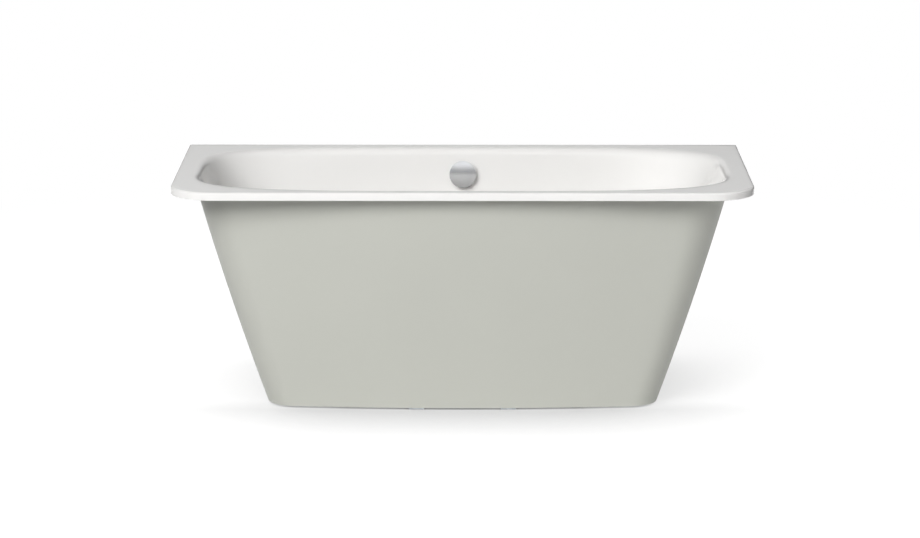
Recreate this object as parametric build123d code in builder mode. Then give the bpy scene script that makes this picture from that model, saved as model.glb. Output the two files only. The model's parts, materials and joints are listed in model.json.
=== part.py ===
from build123d import *
from math import atan, cos, degrees, pi, radians, sin, sqrt, tan
import os

# A wall-side bath: a tub of enamelled steel on a levelling frame, with a one-piece tapered skirt in
# front of it and a cable-worked waste and overflow set under and behind it. Millimetres and degrees.
# The origin is on the floor below the drain, X runs along the bath, +Y points to the wall, +Z is up.

os.makedirs("parts", exist_ok=True)

# The bath as a whole
length = 1500
depth = 700
height = 600
sheet = 3.5
seat_gap = 0.3
running_gap = 0.05
overrun = 5

# The rim and its turned-down edge
band_height = 20
front_corner_radius = 115
rear_corner_radius = 4
rim_edge_radius = 5.5
roll_radius = 25

# The basin: its opening where the rim starts to roll over, its slopes from the vertical and its floor
end_rim_width = 45
side_rim_width = 26
opening_exponent = 3.9
floor_exponent = 3.2
floor_rise = 165
end_slope = 30
side_slope = 8
floor_radius = 80
quarter_steps = 8
rounding_shares = (0, 0.25, 0.5, 0.75, 1)
dish_depth = 4
dish_radius = 62
dish_floor_radius = 42
drain_hole_radius = 26
overflow_hole_radius = 26
overflow_drop = 72

# The skirt, with its top tucked behind the rim's edge and its base just off the floor
skirt_sheet = 2.5
skirt_floor_gap = 5
skirt_top_tuck = 6
skirt_top_inset = 62
skirt_base_inset = 238
skirt_side_bulge = 6
skirt_top_setback = 35
skirt_base_setback = 120
skirt_top_bow = 45
skirt_base_bow = 29
skirt_top_corner = 110
skirt_base_corner = 76
skirt_rear_gap = 5
skirt_rear_fold = 15
skirt_flange = 15
skirt_section_shares = (0, 0.5, 1)
bulge_peak_share = 0.25

# The supporting rails with their cushions
rail_share = 0.2
rail_end = 25
rail_width = 40
rail_height = 30
rail_sheet = 2.5
rail_corner = 4
cushion_thickness = 4
cushion_inset = 65

# The levelling feet
foot_inset = 185
stud_radius = 5
stud_chamfer = 1
stud_top_drop = 5
bush_radius = 9
nut_height = 8
nut_across_flats = 17
sole_thickness = 3
sole_radius = 29
pad_radius = 30
pad_flange = 7
pad_hub_radius = 13
pad_hub_height = 10
socket_floor = 5
collar_height = 8

# The hooks on the wall and the angles on the floor
bracket_inset = 250
bracket_width = 50
bracket_sheet = 3
bracket_drop = 80
hook_reach = 10
hook_rise = 17
bracket_hole_radius = 3.5
bracket_lower_hole = 15
bracket_hole_spacing = 35
angle_x = 120
angle_foot_offset = 15
angle_width = 40
angle_leg = 38
angle_rise = 32
angle_sheet = 3
angle_gap = 0.8
angle_hole_radius = 2.75
angle_hole_inset = 14

# The clips that hold the skirt's top edge under the rim
clip_width = 30
clip_lip = 2
clip_back = 3.5
clip_play = 0.8
clip_grip = 5
clip_front_inset = 400
clip_side_inset = 135

# The sound-deadening mats under the floor
mat_thickness = 3
mat_length = 130
mat_inset = 10
mat_corner = 12
mat_rail_gap = 15

# The earthing tab
tab_end_inset = 140
tab_inset = 24
tab_width = 24
tab_length = 30
tab_sheet = 3
tab_hole_radius = 4.2
tab_hole_drop = 18
earth_bolt_radius = 4
earth_bolt_length = 22
earth_head_height = 5.5
earth_across_flats = 13

# The overflow: knob, plate, gasket and body, with distances measured square to the basin's wall
knob_radius = 36.5
knob_gap = 10
knob_edge = 7
knob_dome = 2.5
knob_lip = 1.5
knob_wall = 2.5
knob_boss_radius = 8
knob_boss_back = 5
spindle_radius = 5
spindle_grip = 10
cam_radius = 15
cam_thickness = 6
cam_groove = 1.5
plate_radius = 33
plate_thickness = 3
plate_hub_radius = 9
plate_hub_length = 9
plate_slot_radius = 5
plate_slot_circle = 17.5
plate_slot_count = 6
gasket_thickness = 3
overflow_flange_radius = 36
overflow_flange = 3
barrel_radius = 29
barrel_wall = 4
barrel_depth = 34
barrel_back = 5
bearing_depth = 3
screw_circle = 20.5
screw_radius = 2
screw_boss_radius = 5
screw_boss_length = 10
screw_head_radius = 3.6
screw_head_height = 2

# The hose and its nuts
hose_set_back = 27
hose_radius = 16
hose_bore = 14
outlet_length = 46
hose_nut_radius = 22
hose_nut_length = 20
hose_nut_overlap = 10
hose_drop = 47
hose_bend = 90

# The cable that lifts the plug
cable_radius = 2.5
gland_radius = 5
gland_length = 13
cable_drop = 60
cable_bend_share = 0.45
cable_courses = (
    (92, 1, 1),
    (128, 0.991, 0.918),
    (140, 0.96, 0.775),
    (138, 0.928, 0.584),
    (131, 0.897, 0.394),
    (124, 0.847, 0.215),
    (120, 0.728, 0.076),
    (119, 0.517, 0.017),
    (118, 0.267, 0.002),
    (112, 0.063, 0),
    (96, 0, 0),
)

# The drain: flange, gaskets, body, plug and lever
flange_radius = 35
flange_thickness = 3
flange_gasket = 1
neck_radius = 24.5
neck_bore = 21
neck_length = 26
web_thickness = 3
web_depth = 6
web_drop = 17
guide_radius = 6
guide_length = 11
stem_radius = 3
plug_radius = 30
plug_edge = 3.5
plug_dome = 2.5
plug_lip = 1.2
seal_height = 3
drain_gasket = 3
drain_flange_radius = 38
drain_flange = 4
drain_body_radius = 33
drain_body_wall = 4
drain_body_height = 60
drain_floor = 4
inlet_length = 33
spigot_length = 15
plug_lift = 12
lever_arm = 16
lever_tail = 8
lever_width = 6
lever_thickness = 4
lever_boss_radius = 4
roller_radius = 3
pin_radius = 1.5
pin_seat = 2.5
pivot_drop = 43

# The trap and the outlet
pipe_radius = 20
pipe_bore = 17
trap_width = 76
trap_bend = 35
trap_floor_gap = 7
outlet_drop = 54
outlet_bend = 30
trap_reach = 150
union_radius = 27
union_length = 18
union_grip = 9
elbow_run = 55
elbow_reach = 110
elbow_bend = 38
eye_radius = 14
eye_length = 30
eye_cap_radius = 17
eye_cap_thickness = 8
nut_sides = 12

# Levels and places that follow from these sizes
floor_level = floor_rise
floor_underside = floor_level - sheet
basin_depth = height - floor_level
rim_underside = height - sheet
band_level = height - band_height
wall_y = depth / 2
dish_level = floor_level - dish_depth
dish_underside = dish_level - sheet
opening_half_length = length / 2 - end_rim_width
opening_half_depth = wall_y - side_rim_width
skirt_top_half_width = length / 2 - skirt_top_inset
skirt_base_half_width = length / 2 - skirt_base_inset
rail_x = length * rail_share
foot_y = wall_y - foot_inset
rail_length = (foot_y + rail_end) * 2
cushion_length = rail_length - cushion_inset * 2
mat_width = cushion_length - mat_inset * 2
mat_x = rail_x - (rail_width + mat_length) / 2 - mat_rail_gap
bracket_x = length / 2 - bracket_inset
angle_y = foot_y - angle_foot_offset
clip_front_x = length / 2 - clip_front_inset
clip_side_y = wall_y - clip_side_inset
tab_x = length / 2 - tab_end_inset
hose_level = floor_level - hose_drop
cable_level = floor_level - cable_drop
pivot_level = floor_level - pivot_drop
outlet_level = floor_level - outlet_drop


def basin_half(level, opening_half, slope, skin):
    """Half the basin's width at a level, where its wall leans by the slope. The profile rolls over into
    the rim, runs straight and is rounded into the floor. The skin is 0 for the inside of the sheet and
    the sheet's thickness for its outside."""
    lean = radians(slope)
    roll = roll_radius - skin
    roll_centre = height - roll_radius
    wall_top = roll_centre + roll * sin(lean)
    rounding = floor_radius + skin
    floor_centre = floor_level + floor_radius
    wall_foot = floor_centre - rounding * sin(lean)
    if level > wall_top:
        return opening_half - sqrt(max(roll**2 - (level - roll_centre) ** 2, 0))
    wall_top_half = opening_half - roll * cos(lean)
    if level > wall_foot:
        return wall_top_half - (wall_top - level) * tan(lean)
    wall_foot_half = wall_top_half - (wall_top - wall_foot) * tan(lean)
    reach = sqrt(max(rounding**2 - (floor_centre - level) ** 2, 0))
    return wall_foot_half - rounding * cos(lean) + reach


def basin_outline(level, skin):
    """The basin's outline at a level, as a face: four mirrored quarters of a superellipse."""
    half_length = basin_half(level, opening_half_length, end_slope, skin)
    half_depth = basin_half(level, opening_half_depth, side_slope, skin)
    exponent = opening_exponent + (floor_exponent - opening_exponent) * (height - level) / basin_depth
    points = []
    for step in range(quarter_steps + 1):
        across = cos(pi / 2 * step / quarter_steps)
        along = sin(pi / 2 * step / quarter_steps)
        span = (abs(across) ** exponent + abs(along) ** exponent) ** (1 / exponent)
        points.append((half_length * across / span, half_depth * along / span))
    with BuildSketch(Plane.XY.offset(level)) as outline:
        with BuildLine():
            Spline(*points, tangents=[(0, 1), (-1, 0)])
            mirror(about=Plane.XZ)
            mirror(about=Plane.YZ)
        make_face()
    return outline.sketch


def basin_body(skin):
    """The hollow of the basin, or with the sheet as its skin the body round it, up past the rim."""
    steepest = radians(90 - side_slope)
    rounding = floor_radius + skin
    roll = roll_radius - skin
    with BuildPart() as body:
        for share in rounding_shares:
            add(basin_outline(floor_level - skin + rounding * (1 - cos(steepest * share)), skin))
        loft()
        add(basin_outline(floor_level - skin + rounding * (1 - cos(steepest)), skin))
        add(basin_outline(height - skin - roll * (1 - cos(steepest)), skin))
        loft(ruled=True)
        for share in rounding_shares:
            add(basin_outline(height - skin - roll * (1 - cos(steepest * share)), skin))
        loft()
        add(basin_outline(height - skin, skin))
        extrude(amount=overrun + skin)
    return body.part


def rim_outline(level, inset):
    """The rim seen from above, with two rounded front corners and two square ones at the wall."""
    with BuildSketch(Plane.XY.offset(level)) as outline:
        Rectangle(length - inset * 2, depth - inset * 2)
        fillet(outline.vertices().group_by(Axis.Y)[0], front_corner_radius - inset)
        fillet(outline.vertices().group_by(Axis.Y)[-1], rear_corner_radius - inset)
    return outline.sketch


# The point where the overflow's axis leaves the basin's inner wall, and the plane of the wall there
overflow_y = basin_half(height - overflow_drop, opening_half_depth, side_slope, 0)
overflow_normal = Vector(0, -cos(radians(side_slope)), sin(radians(side_slope)))
overflow = Plane(origin=(0, overflow_y, height - overflow_drop), x_dir=(1, 0, 0), z_dir=overflow_normal)
overflow_axis = Axis(overflow.origin, overflow.z_dir)
overflow_section = Plane(origin=overflow.origin, x_dir=overflow.x_dir, z_dir=-overflow.y_dir)

# The tub: everything below the sheet is cut away from a block that has the rim and the basin on top
with BuildPart() as underside:
    add(rim_outline(band_level - overrun, sheet))
    extrude(amount=band_height + overrun - sheet)
    fillet(underside.faces().sort_by(Axis.Z)[-1].edges(), rim_edge_radius - sheet)
    with BuildSketch(Plane.XY.offset(floor_underside - overrun)):
        Rectangle(length + overrun * 2, depth + overrun * 2)
    extrude(amount=band_level - floor_underside + overrun)
    add(basin_body(sheet), mode=Mode.SUBTRACT)

with BuildPart() as tub:
    add(rim_outline(floor_underside, 0))
    extrude(amount=height - floor_underside)
    fillet(tub.faces().sort_by(Axis.Z)[-1].edges(), rim_edge_radius)
    add(basin_body(0), mode=Mode.SUBTRACT)
    add(underside.part, mode=Mode.SUBTRACT)
    with BuildSketch(Plane.XY.offset(floor_underside)):
        Circle(dish_radius + sheet)
    with BuildSketch(Plane.XY.offset(dish_underside)):
        Circle(dish_floor_radius + sheet)
    loft()
    with BuildSketch(Plane.XY.offset(floor_level)):
        Circle(dish_radius)
    with BuildSketch(Plane.XY.offset(dish_level)):
        Circle(dish_floor_radius)
    loft(mode=Mode.SUBTRACT)
    with BuildSketch(Plane.XY.offset(dish_level)):
        Circle(drain_hole_radius)
    extrude(amount=overrun, both=True, mode=Mode.SUBTRACT)
    with BuildSketch(overflow):
        Circle(overflow_hole_radius)
    extrude(amount=sheet + overrun, both=True, mode=Mode.SUBTRACT)
tub.part.label = "tub"
export_step(tub.part, "parts/tub.step")


# The skirt: a tapered U with a bowed front, bulging sides, folded rear edges and a flange turned out
# under the rim
def skirt_share(level):
    """How far up the skirt a level lies, from 0 at its base to 1 at the rim's lower edge."""
    return (level - skirt_floor_gap) / (band_level - skirt_floor_gap)


def between(base, top, level):
    return base + (top - base) * skirt_share(level)


def skirt_half_width(level):
    share = skirt_share(level)
    bulge = skirt_side_bulge * share * (1 - share) / bulge_peak_share
    return between(skirt_base_half_width, skirt_top_half_width, level) + bulge


def skirt_front_y(level, x):
    """The outer face of the skirt's front at a level, bowed back towards its ends."""
    bow = between(skirt_base_bow, skirt_top_bow, level) * (x / skirt_half_width(level)) ** 2
    return -wall_y + between(skirt_base_setback, skirt_top_setback, level) + bow


def skirt_outline(level, inset, rear, fold):
    """The skirt's outline at a level, drawn in by the inset, with its sides narrowed by the fold."""
    half_width = skirt_half_width(level) - inset - fold
    front = skirt_front_y(level, 0) + inset
    corner_y = skirt_front_y(level, skirt_half_width(level)) + inset
    with BuildSketch(Plane.XY.offset(level)) as outline:
        with BuildLine():
            bow = ThreePointArc((-half_width, corner_y), (0, front), (half_width, corner_y))
            Polyline(bow @ 1, (half_width, rear), (-half_width, rear), bow @ 0)
        make_face()
        corner = between(skirt_base_corner, skirt_top_corner, level) - inset
        fillet(outline.vertices().group_by(Axis.Y)[0], corner)
    return outline.sketch


skirt_top = band_level + skirt_top_tuck
skirt_rear = wall_y - skirt_rear_gap
skirt_levels = [skirt_floor_gap + (skirt_top - skirt_floor_gap) * share for share in skirt_section_shares]

with BuildPart() as skirt:
    for level in skirt_levels:
        add(skirt_outline(level, 0, skirt_rear, 0))
    loft()
    add(skirt_outline(skirt_top, -skirt_flange, skirt_rear, 0))
    extrude(amount=-skirt_sheet)
    for level in skirt_levels:
        add(skirt_outline(level, skirt_sheet, skirt_rear - skirt_sheet, 0))
    loft(mode=Mode.SUBTRACT)
    for level in skirt_levels:
        add(skirt_outline(level, skirt_sheet, skirt_rear + overrun, skirt_rear_fold))
    loft(mode=Mode.SUBTRACT)
skirt.part.label = "skirt"
export_step(skirt.part, "parts/skirt.step")

# The clips: hooks fixed under the rim that the edge of the skirt's flange slides into
def clip_place(x):
    """The outer face of the skirt's front at x, and how far the face has turned there."""
    lean = 2 * between(skirt_base_bow, skirt_top_bow, skirt_top) * x / skirt_half_width(skirt_top) ** 2
    return x, skirt_front_y(skirt_top, x), degrees(atan(lean))


clip_side_x = skirt_half_width(skirt_top)
clip_places = [
    clip_place(0),
    clip_place(clip_front_x),
    clip_place(-clip_front_x),
    (clip_side_x, clip_side_y, 90),
    (-clip_side_x, clip_side_y, -90),
]
clip_bottom = skirt_top - skirt_sheet - seat_gap - clip_lip
clip_reach = skirt_flange + clip_play + clip_back
with BuildPart() as skirt_clips:
    for x, y, turn in clip_places:
        clip_plane = Plane(origin=(x, y, clip_bottom), x_dir=(cos(radians(turn)), sin(radians(turn)), 0))
        with BuildSketch(clip_plane):
            with Locations((0, -clip_reach)):
                Rectangle(clip_width, clip_back + clip_grip, align=(Align.CENTER, Align.MIN))
        extrude(amount=clip_lip)
        with BuildSketch(clip_plane):
            with Locations((0, -clip_reach)):
                Rectangle(clip_width, clip_back, align=(Align.CENTER, Align.MIN))
        extrude(amount=rim_underside - clip_bottom)
skirt_clips.part.label = "skirt_clips"
export_step(skirt_clips.part, "parts/skirt_clips.step")

# The floor angles: one leg lies on the floor, the other leans along the skirt's inner face
angle_lean_front = skirt_front_y(0, 0) - skirt_front_y(angle_rise, 0)
angle_lean_side = skirt_half_width(angle_rise) - skirt_half_width(0)
angle_front = -skirt_front_y(0, angle_x) - skirt_sheet - angle_gap
angle_side = skirt_half_width(0) - skirt_sheet - angle_gap


def floor_angle(plane, face, lean):
    """An angle whose profile is drawn on the plane, with x pointing out to the skirt and y up."""
    with BuildPart() as angle:
        with BuildSketch(plane):
            with BuildLine():
                Polyline(
                    (face, 0),
                    (face - angle_leg, 0),
                    (face - angle_leg, angle_sheet),
                    (face - angle_sheet, angle_sheet),
                    (face - angle_sheet + lean, angle_rise),
                    (face + lean, angle_rise),
                    close=True,
                )
            make_face()
        extrude(amount=angle_width / 2, both=True)
        hole_x = face - angle_leg + angle_hole_inset
        hole_centre = plane.from_local_coords((hole_x, 0, 0))
        with BuildSketch(Plane.XY):
            with Locations((hole_centre.X, hole_centre.Y)):
                Circle(angle_hole_radius)
        extrude(amount=angle_sheet + overrun, mode=Mode.SUBTRACT)
    return angle.part


for side, sign in (("left", -1), ("right", 1)):
    front_plane = Plane(origin=(sign * angle_x, 0, 0), x_dir=(0, -1, 0), z_dir=(-1, 0, 0))
    side_plane = Plane(origin=(0, angle_y, 0), x_dir=(sign, 0, 0), z_dir=(0, -sign, 0))
    front_angle = floor_angle(front_plane, angle_front, angle_lean_front)
    front_angle.label = f"floor_angle_front_{side}"
    export_step(front_angle, f"parts/floor_angle_front_{side}.step")
    side_angle = floor_angle(side_plane, angle_side, angle_lean_side)
    side_angle.label = f"floor_angle_{side}"
    export_step(side_angle, f"parts/floor_angle_{side}.step")

# The rails under the floor: channels open below, with a threaded bush for each foot
rail_top = floor_underside - cushion_thickness
rail_bottom = rail_top - rail_height
bush_top = rail_top - rail_sheet

for side, sign in (("left", -1), ("right", 1)):
    with BuildPart() as rail:
        with BuildSketch(Plane.XZ):
            with Locations((sign * rail_x, rail_top - rail_height / 2)):
                Rectangle(rail_width, rail_height)
        extrude(amount=rail_length / 2, both=True)
        fillet(rail.edges().filter_by(Axis.Y).group_by(Axis.Z)[-1], rail_corner)
        with BuildSketch(Plane.XZ):
            with Locations((sign * rail_x, rail_top - rail_height / 2 - rail_sheet)):
                Rectangle(rail_width - rail_sheet * 2, rail_height)
        extrude(amount=rail_length / 2 + overrun, both=True, mode=Mode.SUBTRACT)
        with BuildSketch(Plane.XY.offset(rail_bottom)):
            with Locations((sign * rail_x, -foot_y), (sign * rail_x, foot_y)):
                Circle(bush_radius)
        extrude(amount=bush_top - rail_bottom)
        with BuildSketch(Plane.XY.offset(rail_bottom)):
            with Locations((sign * rail_x, -foot_y), (sign * rail_x, foot_y)):
                Circle(stud_radius + running_gap)
        extrude(amount=rail_height + overrun, mode=Mode.SUBTRACT)
    rail.part.label = f"support_rail_{side}"
    export_step(rail.part, f"parts/support_rail_{side}.step")

    with BuildPart() as cushion:
        with BuildSketch(Plane.XY.offset(rail_top)):
            with Locations((sign * rail_x, 0)):
                Rectangle(rail_width - rail_corner * 2, cushion_length)
        extrude(amount=cushion_thickness)
    cushion.part.label = f"rail_cushion_{side}"
    export_step(cushion.part, f"parts/rail_cushion_{side}.step")

    with BuildPart() as mat:
        with BuildSketch(Plane.XY.offset(floor_underside)):
            with Locations((sign * mat_x, 0)):
                RectangleRounded(mat_length, mat_width, mat_corner)
        extrude(amount=-mat_thickness)
    mat.part.label = f"sound_mat_{side}"
    export_step(mat.part, f"parts/sound_mat_{side}.step")

# The feet: a stud turned by its collar, standing in a pad with a rubber sole
foot_places = {
    "front_left": (-rail_x, -foot_y),
    "front_right": (rail_x, -foot_y),
    "rear_left": (-rail_x, foot_y),
    "rear_right": (rail_x, foot_y),
}
socket_level = sole_thickness + socket_floor
pad_top = sole_thickness + pad_flange + pad_hub_height
stud_bottom = socket_level + seat_gap
stud_top = bush_top - stud_top_drop
collar_level = pad_top + seat_gap

for name, (x, y) in foot_places.items():
    with BuildPart() as sole:
        with BuildSketch(Plane.XY):
            with Locations((x, y)):
                Circle(sole_radius)
        extrude(amount=sole_thickness)
    sole.part.label = f"foot_sole_{name}"
    export_step(sole.part, f"parts/foot_sole_{name}.step")

    with BuildPart() as pad:
        with BuildSketch(Plane.XY.offset(sole_thickness)):
            with Locations((x, y)):
                Circle(pad_radius)
        extrude(amount=pad_flange)
        fillet(pad.faces().sort_by(Axis.Z)[-1].edges(), pad_flange / 2)
        with BuildSketch(Plane.XY.offset(sole_thickness)):
            with Locations((x, y)):
                Circle(pad_hub_radius)
        extrude(amount=pad_top - sole_thickness)
        with BuildSketch(Plane.XY.offset(socket_level)):
            with Locations((x, y)):
                Circle(stud_radius + running_gap)
        extrude(amount=pad_top - socket_level + overrun, mode=Mode.SUBTRACT)
    pad.part.label = f"foot_pad_{name}"
    export_step(pad.part, f"parts/foot_pad_{name}.step")

    with BuildPart() as stud:
        with BuildSketch(Plane.XY.offset(stud_bottom)):
            with Locations((x, y)):
                Circle(stud_radius)
        extrude(amount=stud_top - stud_bottom)
        chamfer(stud.faces().sort_by(Axis.Z)[-1].edges(), stud_chamfer)
        with BuildSketch(Plane.XY.offset(collar_level)):
            with Locations((x, y)):
                RegularPolygon(nut_across_flats / 2, 6, major_radius=False)
        extrude(amount=collar_height)
    stud.part.label = f"foot_stud_{name}"
    export_step(stud.part, f"parts/foot_stud_{name}.step")

with BuildPart() as lock_nuts:
    with BuildSketch(Plane.XY.offset(rail_bottom)):
        with Locations(*foot_places.values()):
            RegularPolygon(nut_across_flats / 2, 6, major_radius=False)
            Circle(stud_radius + running_gap, mode=Mode.SUBTRACT)
    extrude(amount=-nut_height)
lock_nuts.part.label = "lock_nuts"
export_step(lock_nuts.part, "parts/lock_nuts.step")

# The wall hooks: a plate screwed to the wall, a ledge under the rim's edge and a lip behind it
hook_y = wall_y - hook_reach
lip_y = hook_y + bracket_sheet
ledge_level = band_level - bracket_sheet
plate_bottom = ledge_level - bracket_drop
lip_top = ledge_level + hook_rise

for side, sign in (("left", -1), ("right", 1)):
    with BuildPart() as hook:
        with BuildSketch(Plane.YZ.offset(sign * bracket_x)):
            with BuildLine():
                Polyline(
                    (wall_y, band_level),
                    (wall_y, plate_bottom),
                    (wall_y - bracket_sheet, plate_bottom),
                    (wall_y - bracket_sheet, ledge_level),
                    (hook_y, ledge_level),
                    (hook_y, lip_top),
                    (lip_y, lip_top),
                    (lip_y, band_level),
                    close=True,
                )
            make_face()
        extrude(amount=bracket_width / 2, both=True)
        with BuildSketch(Plane.XZ.offset(-wall_y)):
            with Locations((sign * bracket_x, plate_bottom + bracket_lower_hole)):
                Circle(bracket_hole_radius)
            with Locations((sign * bracket_x, plate_bottom + bracket_lower_hole + bracket_hole_spacing)):
                Circle(bracket_hole_radius)
        extrude(amount=bracket_sheet + overrun, both=True, mode=Mode.SUBTRACT)
    hook.part.label = f"wall_hook_{side}"
    export_step(hook.part, f"parts/wall_hook_{side}.step")

with BuildPart() as hook_cushions:
    with BuildSketch(Plane.XY.offset(band_level)):
        with Locations((-bracket_x, (lip_y + wall_y - sheet) / 2), (bracket_x, (lip_y + wall_y - sheet) / 2)):
            Rectangle(bracket_width, wall_y - sheet - lip_y)
    extrude(amount=lip_top - band_level)
hook_cushions.part.label = "hook_cushions"
export_step(hook_cushions.part, "parts/hook_cushions.step")

# The earthing tab under the rim, with its bolt, washer and nut
tab_y = wall_y - tab_inset
tab_hole_level = rim_underside - tab_hole_drop
with BuildPart() as earth_tab:
    with BuildSketch(Plane.XZ.offset(-tab_y)):
        with Locations((tab_x, rim_underside - tab_length / 2)):
            Rectangle(tab_width, tab_length)
        with Locations((tab_x, tab_hole_level)):
            Circle(tab_hole_radius, mode=Mode.SUBTRACT)
    extrude(amount=tab_sheet)
earth_tab.part.label = "earth_tab"
export_step(earth_tab.part, "parts/earth_tab.step")

with BuildPart() as earth_bolt:
    with BuildSketch(Plane.XZ.offset(-tab_y)):
        with Locations((tab_x, tab_hole_level)):
            RegularPolygon(earth_across_flats / 2, 6, major_radius=False)
    extrude(amount=-earth_head_height)
    with BuildSketch(Plane.XZ.offset(-tab_y)):
        with Locations((tab_x, tab_hole_level)):
            Circle(earth_bolt_radius)
    extrude(amount=earth_bolt_length)
earth_bolt.part.label = "earth_bolt"
export_step(earth_bolt.part, "parts/earth_bolt.step")

with BuildPart() as earth_nut:
    with BuildSketch(Plane.XZ.offset(tab_sheet - tab_y)):
        with Locations((tab_x, tab_hole_level)):
            RegularPolygon(earth_across_flats / 2, 6, major_radius=False)
            Circle(earth_bolt_radius + running_gap, mode=Mode.SUBTRACT)
    extrude(amount=earth_head_height)
earth_nut.part.label = "earth_nut"
export_step(earth_nut.part, "parts/earth_nut.step")

# The overflow knob: a shallow domed cap, hollow behind, with a boss on the spindle
knob_back = knob_gap
knob_front = knob_back + knob_edge
knob_crown = knob_front + knob_dome
knob_rise_at = knob_front + knob_dome / 2
with BuildPart() as overflow_knob:
    with BuildSketch(overflow_section):
        with BuildLine():
            dome = ThreePointArc(
                (0, knob_crown),
                ((knob_radius - knob_lip) / sqrt(2), knob_rise_at),
                (knob_radius - knob_lip, knob_front),
            )
            lip = RadiusArc(dome @ 1, (knob_radius, knob_front - knob_lip), knob_lip)
            Polyline(
                lip @ 1,
                (knob_radius, knob_back),
                (knob_radius - knob_wall, knob_back),
                (knob_radius - knob_wall, knob_front - knob_wall),
                (knob_boss_radius, knob_front - knob_wall),
                (knob_boss_radius, knob_boss_back),
                (0, knob_boss_back),
                dome @ 0,
            )
        make_face()
    revolve(axis=overflow_axis)
    with BuildSketch(overflow.offset(knob_boss_back)):
        Circle(spindle_radius)
    extrude(amount=spindle_grip, mode=Mode.SUBTRACT)
overflow_knob.part.label = "overflow_knob"
export_step(overflow_knob.part, "parts/overflow_knob.step")

# The spindle with its grooved cam, from the knob's boss to a blind bearing in the body's back
gasket_front = -sheet - running_gap
gasket_back = gasket_front - gasket_thickness
cavity_back = gasket_back - barrel_depth
spindle_end = cavity_back - bearing_depth + seat_gap
spindle_start = knob_boss_back + spindle_grip
cam_centre = -hose_set_back
with BuildPart() as knob_spindle:
    with BuildSketch(overflow.offset(spindle_start)):
        Circle(spindle_radius)
    extrude(amount=spindle_end - spindle_start)
    with BuildSketch(overflow.offset(cam_centre)):
        Circle(cam_radius)
    extrude(amount=cam_thickness / 2, both=True)
    with BuildSketch(overflow_section):
        with Locations((cam_radius, cam_centre)):
            Circle(cam_groove)
    revolve(axis=overflow_axis, mode=Mode.SUBTRACT)
knob_spindle.part.label = "knob_spindle"
export_step(knob_spindle.part, "parts/knob_spindle.step")

# The plate in the hole: water slots round a hub that guides the spindle
screw_spots = [(-screw_circle, 0), (screw_circle, 0)]
with BuildPart() as overflow_plate:
    with BuildSketch(overflow):
        Circle(plate_radius)
    extrude(amount=plate_thickness)
    fillet(overflow_plate.edges().group_by(overflow_axis)[-1], plate_thickness / 3)
    with BuildSketch(overflow.offset(plate_thickness)):
        Circle(plate_hub_radius)
    extrude(amount=-plate_hub_length)
    with BuildSketch(overflow):
        with PolarLocations(plate_slot_circle, plate_slot_count, start_angle=180 / plate_slot_count):
            Circle(plate_slot_radius)
        with Locations(*screw_spots):
            Circle(screw_radius)
    extrude(amount=plate_thickness + overrun, mode=Mode.SUBTRACT)
    with BuildSketch(overflow.offset(plate_thickness)):
        Circle(spindle_radius + running_gap)
    extrude(amount=-plate_hub_length - overrun, mode=Mode.SUBTRACT)
overflow_plate.part.label = "overflow_plate"
export_step(overflow_plate.part, "parts/overflow_plate.step")

with BuildPart() as overflow_gasket:
    with BuildSketch(overflow.offset(gasket_front)):
        Circle(overflow_flange_radius)
        Circle(barrel_radius - barrel_wall, mode=Mode.SUBTRACT)
    extrude(amount=-gasket_thickness)
overflow_gasket.part.label = "overflow_gasket"
export_step(overflow_gasket.part, "parts/overflow_gasket.step")

# The overflow body: a flanged cup with a hose outlet below and a cable gland at its side
outlet_plane = Plane(
    origin=overflow.from_local_coords((0, 0, -hose_set_back)),
    x_dir=overflow.x_dir,
    z_dir=-overflow.y_dir,
)
gland_plane = Plane(
    origin=overflow.from_local_coords((barrel_radius - barrel_wall / 2, 0, -hose_set_back)),
    x_dir=overflow.y_dir,
    z_dir=overflow.x_dir,
)
gland_reach = barrel_wall / 2 + gland_length
with BuildPart() as overflow_body:
    with BuildSketch(overflow.offset(gasket_back)):
        Circle(overflow_flange_radius)
    extrude(amount=-overflow_flange)
    with BuildSketch(overflow.offset(gasket_back)):
        Circle(barrel_radius)
    extrude(amount=-barrel_depth - barrel_back)
    with BuildSketch(outlet_plane):
        Circle(hose_radius)
    extrude(amount=outlet_length)
    with BuildSketch(gland_plane):
        Circle(gland_radius)
    extrude(amount=gland_reach)
    with BuildSketch(overflow.offset(gasket_back)):
        Circle(barrel_radius - barrel_wall)
    extrude(amount=-barrel_depth, mode=Mode.SUBTRACT)
    with BuildSketch(outlet_plane):
        Circle(hose_bore)
    extrude(amount=outlet_length + overrun, mode=Mode.SUBTRACT)
    with BuildSketch(gland_plane.offset(-barrel_wall)):
        Circle(cable_radius / 2)
    extrude(amount=barrel_wall + gland_reach + overrun, mode=Mode.SUBTRACT)
    with BuildSketch(overflow.offset(gasket_back)):
        with Locations(*screw_spots):
            Circle(screw_boss_radius)
            Circle(screw_radius, mode=Mode.SUBTRACT)
    extrude(amount=-screw_boss_length)
    with BuildSketch(overflow.offset(cavity_back)):
        Circle(spindle_radius + running_gap)
    extrude(amount=-bearing_depth, mode=Mode.SUBTRACT)
overflow_body.part.label = "overflow_body"
export_step(overflow_body.part, "parts/overflow_body.step")

with BuildPart() as overflow_screws:
    with BuildSketch(overflow.offset(plate_thickness)):
        with Locations(*screw_spots):
            Circle(screw_head_radius)
    extrude(amount=screw_head_height)
    with BuildSketch(overflow.offset(plate_thickness)):
        with Locations(*screw_spots):
            Circle(screw_radius)
    extrude(amount=gasket_back - screw_boss_length - plate_thickness + overrun)
overflow_screws.part.label = "overflow_screws"
export_step(overflow_screws.part, "parts/overflow_screws.step")

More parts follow.
